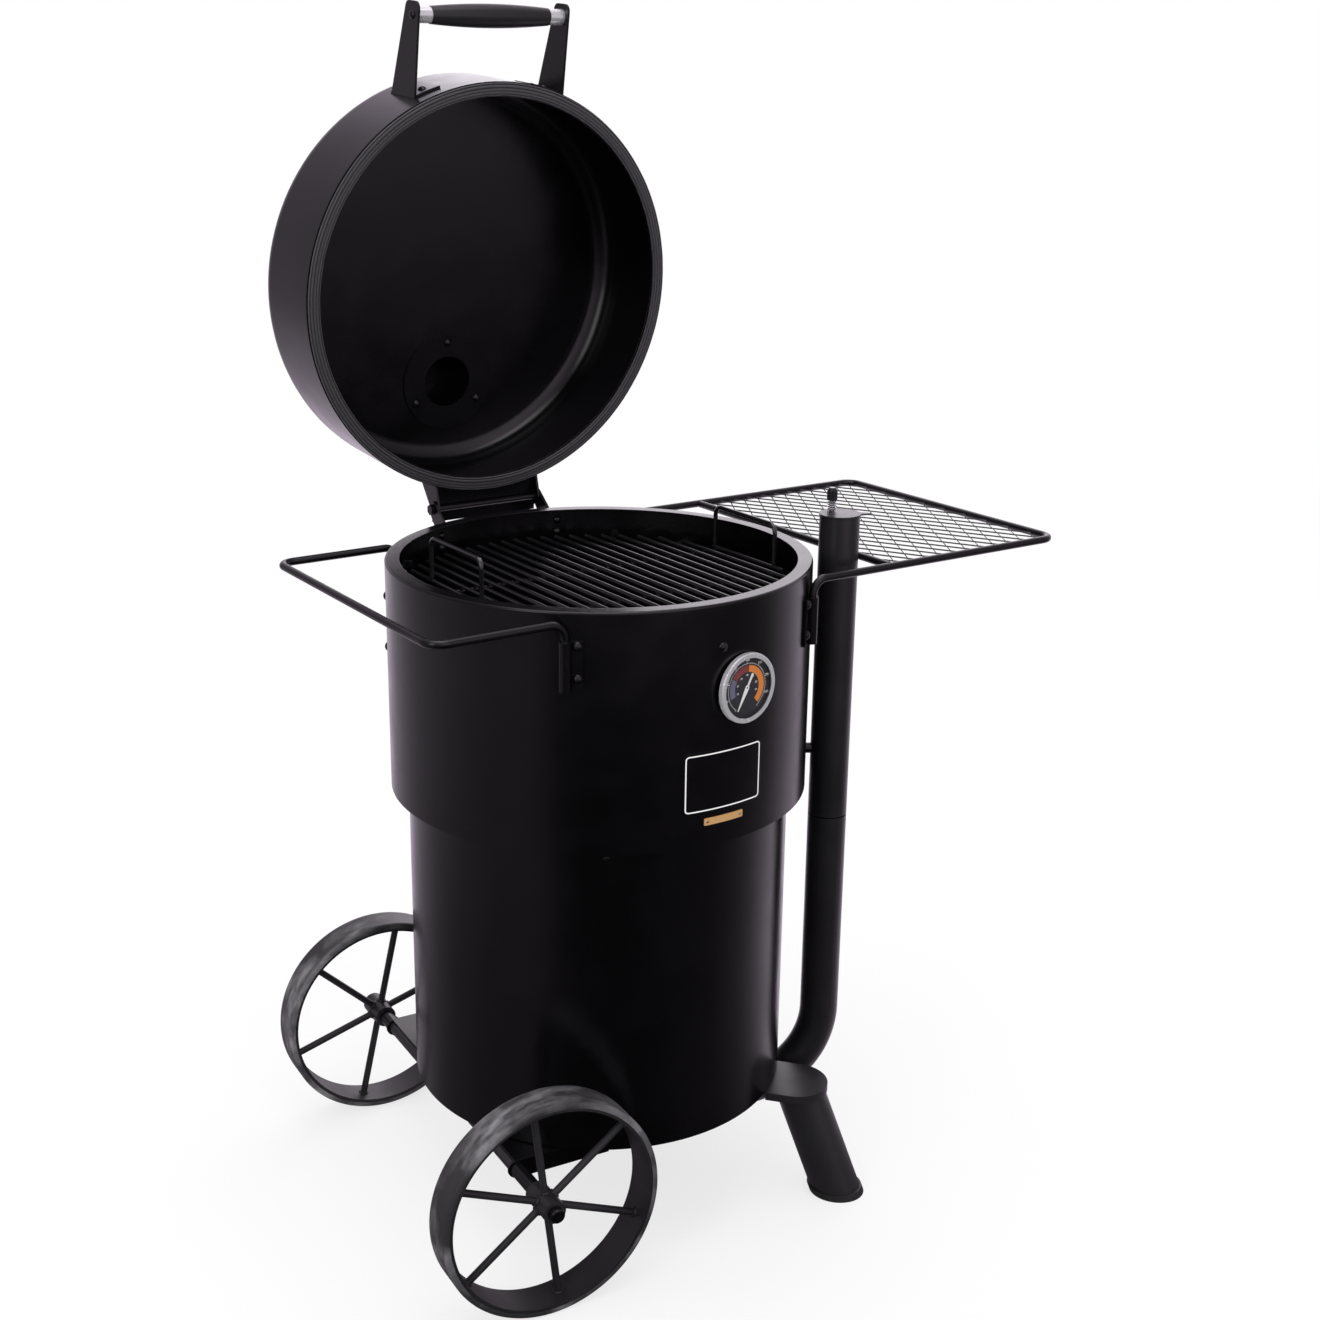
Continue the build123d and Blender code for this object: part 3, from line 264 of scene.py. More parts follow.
metals = {
    "axleSteel": {"color": (0.12, 0.12, 0.125), "rough": (0.378, 0.483), "metal": 1.0,
                  "lineScale": 240.0, "stretch": (1.0, 0.05, 1.0), "depth": 0.04 * mm},
    "springSteel": {"color": (0.55, 0.55, 0.56), "rough": (0.225, 0.2875), "metal": 1.0,
                    "lineScale": 400.0, "stretch": (1.0, 1.0, 1.0), "depth": 0.02 * mm},
    "ferruleSteel": {"color": (0.78, 0.78, 0.79), "rough": (0.252, 0.322), "metal": 0.75,
                     "lineScale": 900.0, "stretch": (1.0, 0.05, 0.05), "depth": 0.003 * mm},
    "bezelSteel": {"color": (0.70, 0.69, 0.72), "rough": (0.225, 0.2875), "metal": 0.55,
                   "lineScale": 120.0, "stretch": (1.0, 1.0, 1.0), "depth": 0.003 * mm},
    "caseSteel": {"color": (0.40, 0.40, 0.41), "rough": (0.315, 0.4025), "metal": 1.0,
                  "lineScale": 300.0, "stretch": (1.0, 1.0, 1.0), "depth": 0.005 * mm},
    "copperStrip": {"color": (0.66, 0.37, 0.15), "rough": (0.378, 0.483), "metal": 0.25,
                    "lineScale": 500.0, "stretch": (0.08, 1.0, 1.0), "depth": 0.01 * mm},
}


def plainMetal(name, settings, edge=0.4 * mm):
    finish, tree, shader = newFinish(name, settings["color"], settings["rough"][0], metal=settings["metal"])
    lines = objectNoise(tree, settings["lineScale"], 2.0, settings["stretch"])
    plug(tree, spread(tree, lines, *settings["rough"]), shader.inputs["Roughness"])
    addRelief(tree, shader, [(lines, settings["depth"])], edge)
    return finish


# Moulded pieces with a fine grain

mouldings = {
    "gripBlack": {"dark": (0.0090, 0.0085, 0.0095), "light": (0.0135, 0.01275, 0.01425),
                  "rough": (0.289, 0.391), "grainScale": 1400.0, "depth": 0.04 * mm},
    "footBlack": {"dark": (0.012, 0.0115, 0.012), "light": (0.018, 0.01725, 0.018),
                  "rough": (0.425, 0.575), "grainScale": 900.0, "depth": 0.08 * mm},
    "dialBlack": {"dark": (0.026, 0.025, 0.031), "light": (0.039, 0.0375, 0.0465),
                  "rough": (0.4675, 0.6325), "grainScale": 2000.0, "depth": 0.01 * mm},
}


def moulded(name, settings, edge=0.5 * mm):
    finish, tree, shader = newFinish(name, settings["dark"], settings["rough"][0], specular=0.45)
    grain = objectNoise(tree, settings["grainScale"], 3.0)
    plug(tree, spread(tree, grain, *settings["rough"]), shader.inputs["Roughness"])
    shade = spread(tree, grain, 0.0, 1.0)
    plug(tree, mixColors(tree, shade, settings["dark"], settings["light"]), shader.inputs["Base Color"])
    addRelief(tree, shader, [(grain, settings["depth"])], edge)
    return finish


# Print on the gauge and the badge

inks = {
    "printWhite": (0.92, 0.92, 0.91),
    "printLilac": (0.17, 0.16, 0.25),
    "printRed": (0.27, 0.055, 0.055),
    "printOrange": (0.80, 0.25, 0.045),
}
inkFilm = {"rough": (0.45, 0.55), "speckScale": 1500.0, "speckShade": 0.9}


def paint(name, color):
    finish, tree, shader = newFinish(name, color, inkFilm["rough"][0], specular=0.35)
    speck = objectNoise(tree, inkFilm["speckScale"], 3.0)
    darker = [c * inkFilm["speckShade"] for c in color]
    plug(tree, mixColors(tree, spread(tree, speck, 0.0, 1.0), darker, color), shader.inputs["Base Color"])
    plug(tree, spread(tree, speck, *inkFilm["rough"]), shader.inputs["Roughness"])
    return finish


# Glass of the gauge

glass = {"color": (0.0, 0.0, 0.0), "rough": (0.02, 0.07), "ior": 2.2, "alpha": 0.07, "smearScale": 40.0}


def clearGlass(name):
    finish, tree, shader = newFinish(name, glass["color"], glass["rough"][0])
    shader.inputs["IOR"].default_value = glass["ior"]
    shader.inputs["Alpha"].default_value = glass["alpha"]
    smear = objectNoise(tree, glass["smearScale"], 4.0)
    plug(tree, spread(tree, smear, *glass["rough"]), shader.inputs["Roughness"])
    return finish


# Black knob on a bright stud: the stud is what lies close to the bolt's axis

knob = {
    "black": (0.010, 0.0095, 0.010),
    "stud": (0.45, 0.45, 0.46),
    "studRadius": 3.2 * mm,
    "rough": 0.35,
    "grainScale": 900.0,
    "grainDepth": 0.05 * mm,
    "edge": 0.4 * mm,
}


def knobAndStud(name):
    finish, tree, shader = newFinish(name, knob["black"], knob["rough"], specular=0.45)
    bolt = Vector(joints["intake_damper_swing"]["pos_m"])
    fromBolt = vectorNode(tree, "SUBTRACT", objectCoords(tree), bolt)
    sideways = vectorNode(tree, "MULTIPLY", fromBolt, (1.0, 1.0, 0.0))
    isStud = mathNode(tree, "LESS_THAN", vectorNode(tree, "LENGTH", sideways), knob["studRadius"])
    plug(tree, mixColors(tree, isStud, knob["black"], knob["stud"]), shader.inputs["Base Color"])
    plug(tree, isStud, shader.inputs["Metallic"])
    addRelief(tree, shader, [(objectNoise(tree, knob["grainScale"], 3.0), knob["grainDepth"])], knob["edge"])
    return finish


# Finishes on the nodes

finishes = {
    "tyreRubber": rubber("tyreRubber"),
    "gaugeGlass": clearGlass("gaugeGlass"),
    "intakeKnob": knobAndStud("intakeKnob"),
}
for maker, family in ((powderCoat, coats), (plainMetal, metals), (moulded, mouldings), (paint, inks)):
    for finishName, settings in family.items():
        finishes[finishName] = maker(finishName, settings)

dressing = {
    "drumCoat": "upper_barrel lower_barrel axle_plate bar_sockets hinge_body_bracket lid_shell "
                "lid_hinge_bracket lid_handle_brackets exhaust_stack exhaust_damper intake_standoff "
                "badge_plate",
    "barPaint": "push_handle shelf_frame shelf_mesh grate_supports",
    "wheelPaint": "front_wheel_rim front_wheel_spokes rear_wheel_rim rear_wheel_spokes",
    "legPaint": "leg_plates leg_tubes",
    "pipePaint": "intake_pipe intake_elbow intake_damper",
    "ringPaint": "exhaust_clamp_ring",
    "boltBlack": "barrel_screws grate_support_bolts floor_bolts socket_bolts hinge_body_bolts hinge_pivots "
                 "lid_handle_bolts lid_hinge_bolts exhaust_screws axle_collars gauge_nut",
    "grateEnamel": "cooking_grate grate_handles",
    "stovePaint": "charcoal_basket basket_floor basket_handle ash_pan",
    "tyreRubber": "front_wheel_tyre rear_wheel_tyre",
    "axleSteel": "axle",
    "springSteel": "intake_damper_spring exhaust_damper_spring",
    "ferruleSteel": "lid_handle_ferrules",
    "gripBlack": "lid_handle_grip exhaust_damper_knob",
    "intakeKnob": "intake_damper_knob",
    "footBlack": "feet",
    "bezelSteel": "gauge_bezel",
    "caseSteel": "gauge_case",
    "gaugeGlass": "gauge_lens",
    "dialBlack": "gauge_dial",
    "printWhite": "gauge_needle",
    "copperStrip": "trim_strip",
}
for finishName, nodeNames in dressing.items():
    for nodeName in nodeNames.split():
        materials = nodes[nodeName].data.materials
        materials.clear()
        materials.append(finishes[finishName])
print("finishes on", sum(len(names.split()) for names in dressing.values()), "nodes")


# Braided rope gasket round the lid's mouth

gasket = {
    "turns": 1600,           # steps round the mouth
    "sides": 44,
    "halfWidth": 9.0 * mm,
    "halfThick": 2.4 * mm,
    "square": 0.55,          # below 1 the section is a rounded rectangle
    "ribs": 4,               # yarns side by side across the rope
    "ribDepth": 1.35 * mm,
    "ribPinch": 0.6,         # share of a rib's dent that narrows the rope
    "plaits": 420,           # twists of each yarn round the mouth
    "plaitDepth": 0.10 * mm,
    "plaitShift": 0.9,       # between neighbouring yarns
    "wander": 0.9 * mm,      # laid by hand, so its edge strays
    "strays": ((5, 1.7, 0.5), (17, 4.1, 0.4)),   # waves, seed and share of the wander
    "strayOuter": 0.4,       # share of it at the outer edge
    "inset": 9.3 * mm,       # middle of the rope inside its outer edge
    "lidBase": 873.3 * mm,   # lid edge when shut
    "below": 2.5 * mm,       # middle of the rope under that edge
}
yarn = {
    # painted shade: the near-black colour put into the grooves between the ribs
    "groove": (0.004, 0.0037, 0.0044),
    "dark": (0.024, 0.0225, 0.0255),
    "light": (0.070, 0.066, 0.075),
    "rough": 0.45,
    "crest": (0.2, 0.9),     # where the painted groove shade ends and a rib's top begins
    "hairScale": 900.0,
    "hairDepth": 0.12 * mm,
    "sheen": 0.1,
    "sheenRough": 0.5,
}


def fibre(name, mouth, middle, pitch):
    # hairy yarn with painted shade, a near-black colour, in the grooves between the ribs
    finish, tree, shader = newFinish(name, yarn["dark"], yarn["rough"])
    away = vectorNode(tree, "DISTANCE", objectCoords(tree), mouth)
    turn = mathNode(tree, "MULTIPLY", mathNode(tree, "SUBTRACT", away, middle), math.pi / pitch)
    crest = mathNode(tree, "ABSOLUTE", mathNode(tree, "COSINE", turn))
    hair = objectNoise(tree, yarn["hairScale"], 4.0)
    plain = mixColors(tree, spread(tree, hair, 0.0, 1.0), yarn["dark"], yarn["light"])
    # painted shade: the grooves get the near-black colour, the rib tops keep the yarn's own colour
    shadedRibs = mixColors(tree, spread(tree, crest, 0.0, 1.0, *yarn["crest"]), yarn["groove"], plain)
    plug(tree, shadedRibs, shader.inputs["Base Color"])
    shader.inputs["Sheen Weight"].default_value = yarn["sheen"]
    shader.inputs["Sheen Roughness"].default_value = yarn["sheenRough"]
    addRelief(tree, shader, [(hair, yarn["hairDepth"])])
    return finish


def squared(value):
    return math.copysign(abs(value) ** gasket["square"], value)


def braidGasket():
    lo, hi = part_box("lid_gasket")
    middle = (hi.x - lo.x) / 2 - gasket["inset"]
    level = gasket["lidBase"] - gasket["below"]
    width = gasket["halfWidth"] - gasket["wander"]
    finish = fibre("gasketFibre", lidOpen((0.0, 0.0, level)), middle, 2 * width / gasket["ribs"])
    verts = []
    for i in range(gasket["turns"]):
        angle = i * 2 * math.pi / gasket["turns"]
        spot = Vector((math.cos(angle), math.sin(angle), 0.0))
        stray = sum(noise.noise(spot * waves + up * seed) * gasket["wander"] * share
                    for waves, seed, share in gasket["strays"])
        for j in range(gasket["sides"]):
            turn = j * 2 * math.pi / gasket["sides"]
            across = squared(math.cos(turn))
            rise = squared(math.sin(turn))
            rib = abs(math.cos(across * gasket["ribs"] * math.pi / 2))
            shift = gasket["plaitShift"] if round(across * gasket["ribs"] / 2) % 2 else 0.0
            twist = abs(math.sin(angle * gasket["plaits"] / 2 + shift))
            dent = gasket["ribDepth"] * (1 - rib) + gasket["plaitDepth"] * (1 - twist)
            inward = gasket["strayOuter"] + (1 - gasket["strayOuter"]) * (1 - across) / 2
            radius = middle + across * (width - dent * gasket["ribPinch"]) + stray * inward
            height = level + rise * (gasket["halfThick"] - dent)
            verts.append(lidOpen((radius * math.cos(angle), radius * math.sin(angle), height)))
    faces = ringFaces(gasket["turns"], gasket["sides"])
    piece = addPiece("braidedGasket", verts, faces, "lid", finish)
    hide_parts("lid_gasket")


braidGasket()
print("braided gasket laid")


# Expanded metal of the shelf: slanted strands between knuckles

expanded = {
    "long": 42.5 * mm,
    "short": 24.5 * mm,
    "strand": 1.7 * mm,
    "thick": 1.0 * mm,
    "tilt": math.radians(38),
    "corner": 15.0 * mm,     # round of the bar's bend
    "marks": 12,             # steps in which a strand is cut at the bars
}


def expandedShelf():
    lo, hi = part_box("shelf_mesh")
    middle = (lo + hi) / 2
    half = (hi - lo) / 2
    verts, faces = [], []

    def inside(spot):
        overX = max(abs(spot.x) - (half.x - expanded["corner"]), 0.0)
        overY = max(abs(spot.y) - (half.y - expanded["corner"]), 0.0)
        inBox = abs(spot.x) <= half.x and abs(spot.y) <= half.y
        return inBox and math.hypot(overX, overY) <= expanded["corner"]

    def addStrand(start, end):
        along = (end - start).normalized()
        side = Vector((-along.y, along.x, 0.0))
        lean = expanded["tilt"]
        flat = (side * math.cos(lean) + up * math.sin(lean)) * expanded["strand"] / 2
        deep = (up * math.cos(lean) - side * math.sin(lean)) * expanded["thick"] / 2
        first = len(verts)
        for point in (start, end):
            for a, b in ((1, 1), (-1, 1), (-1, -1), (1, -1)):
                verts.append(point + flat * a + deep * b)
        faces.extend(ringFaces(2, 4, closeRings=False, first=first))
        faces.append((first + 3, first + 2, first + 1, first))
        faces.append((first + 4, first + 5, first + 6, first + 7))

    stepX = expanded["short"] / 2
    stepY = expanded["long"] / 2
    columns = int(half.x / stepX) + 1
    rows = int(half.y / stepY) + 1
    for p in range(-columns, columns + 1):
        for q in range(-rows, rows + 1):
            if (p + q) % 2 == 0:
                continue
            for dq in (-1, 1):
                start = Vector((p * stepX, q * stepY, 0.0))
                end = Vector(((p + 1) * stepX, (q + dq) * stepY, 0.0))
                marks = [start.lerp(end, i / expanded["marks"]) for i in range(expanded["marks"] + 1)]
                kept = [mark for mark in marks if inside(mark)]
                if len(kept) > 1:
                    addStrand(middle + kept[0], middle + kept[-1])
    piece = addPiece("expandedShelf", verts, faces, "drum", finishes["barPaint"], smooth=False)
    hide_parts("shelf_mesh")


expandedShelf()
print("expanded shelf stretched")


# Print on the gauge's dial: coloured arcs, ticks and plain numbers

needleJoint = joints["needle_turn"]
gaugeOut = -Vector(needleJoint["axis"]).normalized()
gaugeRight = Vector((-gaugeOut.y, gaugeOut.x, 0.0))
dialPrint = {
    "behind": 0.28 * mm,     # print's underside behind the pointer's back
    "thick": 0.10 * mm,
    "arcInner": 19.3 * mm,
    "arcOuter": 27.5 * mm,
    "arcs": (("printLilac", 203.0, 148.0), ("printRed", 146.0, 86.0), ("printOrange", 84.0, -50.0)),
    "arcStep": 2.0,          # degrees
    "scaleStart": 236.0,
    "scaleEnd": -56.0,
    "scaleRadius": 29.6 * mm,
    "scaleLine": 0.35 * mm,
    "majors": 8,
    "minors": 5,
    "majorTick": (2.0 * mm, 0.9),   # length and width in degrees
    "minorTick": (1.0 * mm, 0.5),
    "numbers": (             # ring, radius, size and step from number to number
        ("dialOuter", 34.2 * mm, 4.2 * mm, 50),
        ("dialInner", 15.5 * mm, 3.36 * mm, 10),
    ),
}


def dialPoint(radius, angle, lift):
    turn = math.radians(angle)
    flat = gaugeRight * (radius * math.cos(turn)) + up * (radius * math.sin(turn))
    return Vector(needleJoint["pos_m"]) + flat + gaugeOut * lift


def addBand(name, finishName, inner, outer, start, end, low):
    steps = max(2, int(abs(end - start) / dialPrint["arcStep"]))
    high = low + dialPrint["thick"]
    verts = []
    for i in range(steps + 1):
        angle = start + (end - start) * i / steps
        for radius, lift in ((inner, low), (outer, low), (outer, high), (inner, high)):
            verts.append(dialPoint(radius, angle, lift))
    faces = ringFaces(steps + 1, 4, closeRings=False)
    faces += [(3, 2, 1, 0), tuple(steps * 4 + i for i in range(4))]
    addPiece(name, verts, faces, "drum", finishes[finishName], smooth=False)


def addNumber(name, words, radius, angle, size, lift):
    curve = bpy.data.curves.new(name, "FONT")
    curve.body = words
    curve.size = size
    curve.align_x = "CENTER"
    curve.align_y = "CENTER"
    curve.extrude = dialPrint["thick"] / 2
    label = bpy.data.objects.new(name, curve)
    bpy.context.scene.collection.objects.link(label)
    turned = Matrix((gaugeRight, up, gaugeOut)).transposed().to_4x4()
    label.matrix_world = Matrix.Translation(dialPoint(radius, angle, lift)) @ turned
    curve.materials.append(finishes["printWhite"])
    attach(label, "drum")


def printDial():
    needleBack = min(gaugeOut.dot(Vector(v.co)) for v in nodes["gauge_needle"].data.vertices)
    base = needleBack - gaugeOut.dot(Vector(needleJoint["pos_m"])) - dialPrint["behind"]
    for finishName, start, end in dialPrint["arcs"]:
        addBand("dialArc-" + finishName, finishName, dialPrint["arcInner"], dialPrint["arcOuter"],
                start, end, base)
    scale = dialPrint["scaleRadius"]
    first = dialPrint["scaleStart"]
    span = dialPrint["scaleEnd"] - first
    addBand("dialScale", "printWhite", scale, scale + dialPrint["scaleLine"], first, first + span, base)
    ticks = dialPrint["majors"] * dialPrint["minors"]
    for i in range(ticks + 1):
        angle = first + span * i / ticks
        number, rest = divmod(i, dialPrint["minors"])
        reach, wide = dialPrint["minorTick" if rest else "majorTick"]
        addBand("dialTick-%02d" % i, "printWhite", scale, scale + reach,
                angle + wide / 2, angle - wide / 2, base)
        if rest == 0 and 0 < i < ticks:
            for ring, radius, size, step in dialPrint["numbers"]:
                addNumber("%s-%d" % (ring, number), str(number * step), radius, angle, size,
                          base + dialPrint["thick"] / 2)


printDial()
print("dial printed")


# Weld beads where the spokes meet rim and hub

welds = {
    "firstSpoke": {"front_wheel": 23.0, "rear_wheel": 43.0},   # degrees below the axle's level
    "count": 6,
    "spokeRadius": 4.7 * mm,
    "seams": ((132.2 * mm, 0.8), (15.2 * mm, 0.9)),   # rim and hub: distance from the axle, bead's length
    "bead": 2.3 * mm,
    "beadWidth": 0.9,
    "gap": 0.2 * mm,
    "lump": 0.22,            # unevenness of a bead
    "lumpSeed": (3.1, 90.0),   # per spoke and per metre from the axle
    "lumpTurn": 2.0,
    "around": 20,
    "sides": 8,
}


def weldBead(number, distance, length, out, axle):
    # ring of bead round one end of one spoke, as offsets from the wheel's centre
    side = axle.cross(out)
    spokeSeed, reachSeed = welds["lumpSeed"]
    seed = number * spokeSeed + distance * reachSeed
    spots = []
    for i in range(welds["around"]):
        angle = i * 2 * math.pi / welds["around"]
        ray = axle * math.cos(angle) + side * math.sin(angle)
        place = Vector((seed, math.cos(angle) * welds["lumpTurn"], math.sin(angle) * welds["lumpTurn"]))
        bead = welds["bead"] * (1.0 + welds["lump"] * noise.noise(place))
        sag = distance - math.sqrt(distance ** 2 - (welds["spokeRadius"] * math.sin(angle)) ** 2)
        for j in range(welds["sides"]):
            bend = j * 2 * math.pi / welds["sides"]
            reach = welds["spokeRadius"] + welds["gap"] + bead * math.cos(bend) * welds["beadWidth"]
            along = distance - sag + bead * math.sin(bend) * length
            spots.append(out * along + ray * reach)
    return spots


def weldWheel(body):
    joint = joints[body + "_spin"]
    centre = Vector(joint["pos_m"])
    axle = Vector(joint["axis"]).normalized()
    level = Vector((axle.y, -axle.x, 0.0))
    verts, faces = [], []
    for number in range(welds["count"]):
        turn = math.radians(welds["firstSpoke"][body] + number * 360 / welds["count"])
        out = level * math.cos(turn) - up * math.sin(turn)
        for distance, length in welds["seams"]:
            faces.extend(ringFaces(welds["around"], welds["sides"], first=len(verts)))
            verts.extend(centre + spot for spot in weldBead(number, distance, length, out, axle))
    addPiece(body + "Welds", verts, faces, body, finishes["wheelPaint"])


for wheelBody in welds["firstSpoke"]:
    weldWheel(wheelBody)
print("spokes welded")


# Plain border on the badge plate and rivets on the strip

trim = {
    "angle": -88.6,          # compass angle of both plates on the wall
    "wall": 271.0 * mm,
    "proud": 1.2 * mm,       # face of the plates in front of the wall
    "badgeSize": (116.0 * mm, 78.0 * mm),
    "badgeRound": 8.0 * mm,
    "badgeHeight": 650.5 * mm,
    "inset": 3.0 * mm,
    "line": 1.6 * mm,
    "lineLift": (0.02 * mm, 0.25 * mm),   # underside and top of the border above the plate
    "edgeStep": 5.0 * mm,
    "arcSteps": 8,
    "stripLength": 57.0 * mm,
    "stripHeight": 600.0 * mm,
    "rivet": 1.7 * mm,
    "rivetDome": 0.55,
    "rivetInset": 4.5 * mm,
    "rivetRings": 5,
    "rivetSides": 16,
}


def wallPoint(across, height, proud):
    radius = trim["wall"] + proud
    turn = math.radians(trim["angle"]) + math.asin(across / trim["wall"])
    return Vector((radius * math.cos(turn), radius * math.sin(turn), height))


def badgeOutline(inset):
    # rounded rectangle moved inwards; long edges get points so that they follow the wall
    halfX, halfZ = [size / 2 - inset for size in trim["badgeSize"]]
    bend = trim["badgeRound"] - inset
    spots = []
    for corner, (signX, signZ) in enumerate(((1, 1), (-1, 1), (-1, -1), (1, -1))):
        for i in range(trim["arcSteps"] + 1):
            turn = math.radians(90 * (corner + i / trim["arcSteps"]))
            spots.append((signX * (halfX - bend) + bend * math.cos(turn),
                          signZ * (halfZ - bend) + bend * math.sin(turn)))
    path = []
    for (x, z), (nextX, nextZ) in zip(spots, spots[1:] + spots[:1]):
        steps = max(1, round(math.dist((x, z), (nextX, nextZ)) / trim["edgeStep"]))
        path += [(x + (nextX - x) * k / steps, z + (nextZ - z) * k / steps) for k in range(steps)]
    return path


def badgeBorder():
    outer = badgeOutline(trim["inset"])
    inner = badgeOutline(trim["inset"] + trim["line"])
    low, high = [trim["proud"] + lift for lift in trim["lineLift"]]
    verts = []
    for outSpot, inSpot in zip(outer, inner):
        for (x, z), proud in ((outSpot, low), (outSpot, high), (inSpot, high), (inSpot, low)):
            verts.append(wallPoint(x, trim["badgeHeight"] + z, proud))
    faces = ringFaces(len(outer), 4)
    addPiece("badgeBorder", verts, faces, "drum", finishes["printWhite"], smooth=False)


def stripRivets():
    rings, sides = trim["rivetRings"], trim["rivetSides"]
    away = trim["stripLength"] / 2 - trim["rivetInset"]
    verts, faces = [], []
    for across in (-away, away):
        centre = wallPoint(across, trim["stripHeight"], trim["proud"])
        out = Vector((centre.x, centre.y, 0.0)).normalized()
        right = Vector((-out.y, out.x, 0.0))
        faces.extend(ringFaces(rings, sides, closeRings=False, first=len(verts)))
        for ring in range(rings):
            lean = ring * math.pi / 2 / (rings - 1)
            rise = out * trim["rivetDome"] * math.sin(lean)
            for i in range(sides):
                turn = i * 2 * math.pi / sides
                flat = (right * math.cos(turn) + up * math.sin(turn)) * math.cos(lean)
                verts.append(centre + (flat + rise) * trim["rivet"])
    addPiece("stripRivets", verts, faces, "drum", finishes["caseSteel"])


badgeBorder()
stripRivets()
print("badge and strip trimmed")


# Camera at the photo's place

shot = {
    "place": (-1.2217, -1.9234, 1.4489),
    "yaw": -31.835,
    "pitch": -17.586,
    "lens": 50.396,
    "sensor": 36.0,
    "shift": (0.0605, -0.0004),
    "clipEnd": 200.0,
}
cameraData = bpy.data.cameras.new("shotCamera")
cameraData.sensor_width = shot["sensor"]
cameraData.sensor_fit = "HORIZONTAL"
cameraData.lens = shot["lens"]
cameraData.shift_x, cameraData.shift_y = shot["shift"]
cameraData.clip_end = shot["clipEnd"]
camera = bpy.data.objects.new("shotCamera", cameraData)
camera.location = shot["place"]
camera.rotation_euler = (math.radians(90 + shot["pitch"]), 0.0, math.radians(shot["yaw"]))
bpy.context.scene.collection.objects.link(camera)
bpy.context.scene.camera = camera
print("camera placed")


# Floor, world and lamps

studio = {
    "floorHalf": 60.0,
    "floorColor": (0.9, 0.9, 0.9),
    "floorRough": 0.9,
    "floorSpecular": 0.1,
    "floorGlow": 0.72,         # share of the near floor that is plain white
    "glowRings": (1.6, 5.0),   # the floor turns all white between these distances
    "worldLight": 0.95,
    "tint": (1.0, 0.87, 1.03),
    "nearRings": (0.9, 2.1),   # the floor close by turns into the near room between these distances
    "farRings": (3.4, 8.0),    # and the near room into the far room
    # brightness of the room round the object, as gloss shows it, by compass angle
    "closeRoom": (
        (-180, 0.10), (-154, 0.12), (-142, 0.03), (-130, 0.01), (-104, 0.012), (-75, 0.04), (-60, 0.055),
        (-41, 0.15), (-25, 0.35), (-8, 0.85), (5, 1.0), (85, 1.0), (102, 0.50), (125, 0.28), (151, 0.14),
        (180, 0.10),
    ),
    "nearRoom": (
        (-180, 0.20), (-154, 0.20), (-142, 0.03), (-130, 0.01), (-104, 0.008), (-70, 0.025), (-45, 0.05),
        (-28, 0.11), (-8, 0.48), (12, 1.0), (82, 1.0), (100, 0.60), (125, 0.38), (151, 0.32), (180, 0.20),
    ),
    "farRoom": (
        (-180, 0.20), (-140, 0.20), (-112, 0.55), (-85, 1.0), (-68, 0.80), (-56, 0.36), (-40, 0.26),
        (-15, 0.38), (10, 0.9), (70, 0.9), (95, 0.45), (122, 0.24), (150, 0.18), (180, 0.19),
    ),
    "lamps": (
        # name, place, aim, size, power
        ("leftSoftbox", (-2.7, -1.2, 2.0), (0.0, 0.0, 0.7), (1.2, 2.0), 14.0),
        ("topSoftbox", (-0.3, -0.2, 3.4), (0.0, 0.0, 0.6), (2.2, 2.2), 26.0),
        ("backSoftbox", (2.6, 2.8, 2.3), (0.2, 0.0, 0.8), (3.2, 3.2), 32.0),
    ),
}


def seenRays(tree, path):
    # what the camera sees, directly or in metal and glass
    seen = path.outputs["Is Camera Ray"]
    for ray in ("Is Glossy Ray", "Is Transmission Ray"):
        seen = mathNode(tree, "MAXIMUM", seen, path.outputs[ray])
    return seen


def compassTurn(tree, direction):
    parts = addNode(tree, "ShaderNodeSeparateXYZ", Vector=direction)
    angle = mathNode(tree, "ARCTAN2", parts.outputs["Y"], parts.outputs["X"])
    return spread(tree, angle, 0.0, 1.0, -math.pi, math.pi)


def roomRamp(tree, turn, levels):
    # the studio is white behind the object and dim on the camera's side
    ramp = addNode(tree, "ShaderNodeValToRGB", Fac=turn)
    stops = ramp.color_ramp.elements
    while len(stops) < len(levels):
        stops.new(0.5)
    for stop, (degrees, level) in zip(stops, levels):
        stop.position = (degrees + 180) / 360
        stop.color = (*[level * c for c in studio["tint"]], 1.0)
    return ramp.outputs["Color"]


def floorTone(tree, direction, distance):
    turn = compassTurn(tree, direction)
    tone = roomRamp(tree, turn, studio["closeRoom"])
    for rings, levels in (("nearRings", "nearRoom"), ("farRings", "farRoom")):
        share = spread(tree, distance, 0.0, 1.0, *studio[rings])
        tone = mixColors(tree, share, tone, roomRamp(tree, turn, studio[levels]))
    return tone


def whiteOrTone(tree, path, tone):
    return mixColors(tree, path.outputs["Is Glossy Ray"], (1.0, 1.0, 1.0), tone)


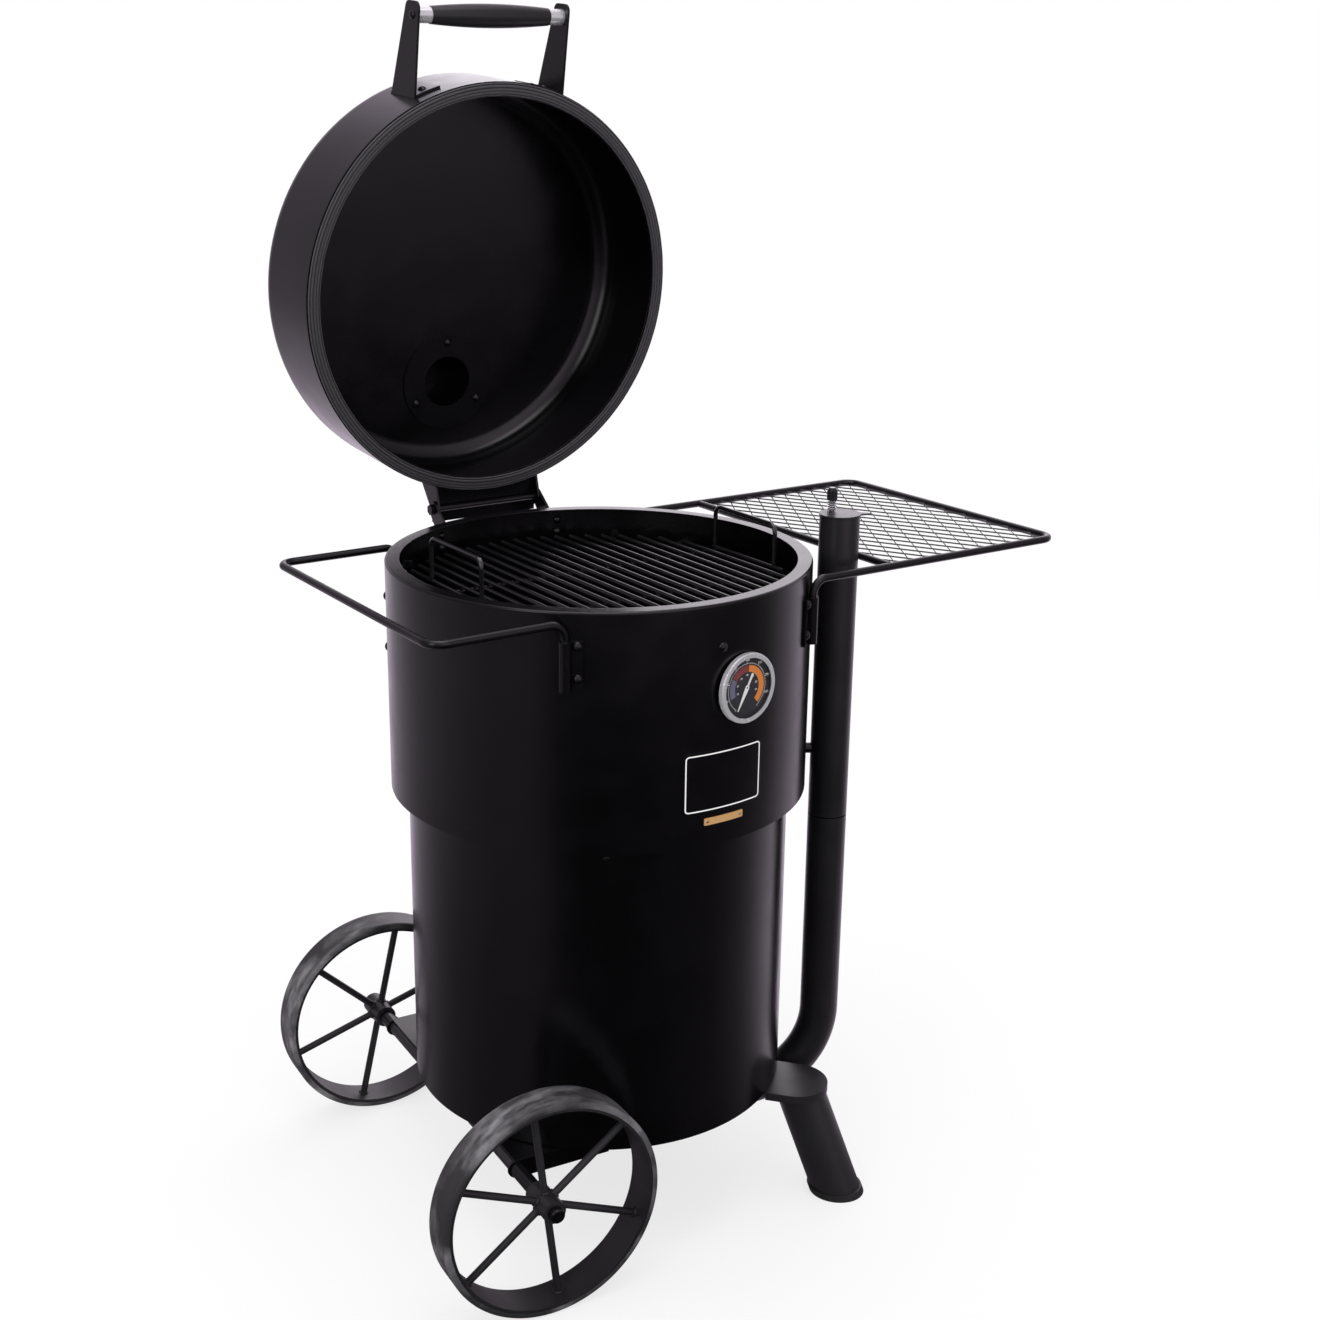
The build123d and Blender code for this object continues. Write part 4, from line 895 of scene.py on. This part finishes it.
def buildFloor():
    half = studio["floorHalf"]
    corners = [(-half, -half, 0), (half, -half, 0), (half, half, 0), (-half, half, 0)]
    mesh = bpy.data.meshes.new("studioFloor")
    mesh.from_pydata(corners, [], [(0, 1, 2, 3)])
    floor = bpy.data.objects.new("studioFloor", mesh)
    bpy.context.scene.collection.objects.link(floor)
    white, tree, shader = newFinish("studioWhite", studio["floorColor"], studio["floorRough"],
                                    specular=studio["floorSpecular"])
    white.cycles.emission_sampling = "NONE"
    path = addNode(tree, "ShaderNodeLightPath")
    spot = objectCoords(tree)
    away = vectorNode(tree, "LENGTH", spot)
    nearShare = spread(tree, away, studio["floorGlow"], 1.0, *studio["glowRings"])
    share = mathNode(tree, "MAXIMUM", nearShare, path.outputs["Is Glossy Ray"])
    seen = mathNode(tree, "MULTIPLY", seenRays(tree, path), share)
    tone = floorTone(tree, spot, away)
    glow = addNode(tree, "ShaderNodeEmission", Strength=1.0, Color=whiteOrTone(tree, path, tone))
    surface = mixShaders(tree, seen, shader.outputs[0], glow.outputs[0])
    plug(tree, surface, tree.nodes["Material Output"].inputs["Surface"])
    mesh.materials.append(white)


def buildWorld():
    world = bpy.data.worlds.new("studioWorld")
    bpy.context.scene.world = world
    world.use_nodes = True
    tree = world.node_tree
    tree.nodes.clear()
    path = addNode(tree, "ShaderNodeLightPath")
    direction = addNode(tree, "ShaderNodeTexCoord").outputs["Generated"]
    plain = addNode(tree, "ShaderNodeBackground", Color=(1, 1, 1, 1), Strength=studio["worldLight"])
    tone = roomRamp(tree, compassTurn(tree, direction), studio["farRoom"])
    bright = addNode(tree, "ShaderNodeBackground", Strength=1.0, Color=whiteOrTone(tree, path, tone))
    surface = mixShaders(tree, seenRays(tree, path), plain.outputs[0], bright.outputs[0])
    addNode(tree, "ShaderNodeOutputWorld", Surface=surface)


def hangLamps():
    for name, place, aim, size, power in studio["lamps"]:
        lamp = bpy.data.lights.new(name, "AREA")
        lamp.shape = "RECTANGLE"
        lamp.size, lamp.size_y = size
        lamp.energy = power
        holder = bpy.data.objects.new(name, lamp)
        holder.location = place
        holder.rotation_euler = (Vector(aim) - Vector(place)).to_track_quat("-Z", "Y").to_euler()
        bpy.context.scene.collection.objects.link(holder)


buildFloor()
buildWorld()
hangLamps()
bpy.context.scene.view_settings.view_transform = "Standard"
print("studio lit")
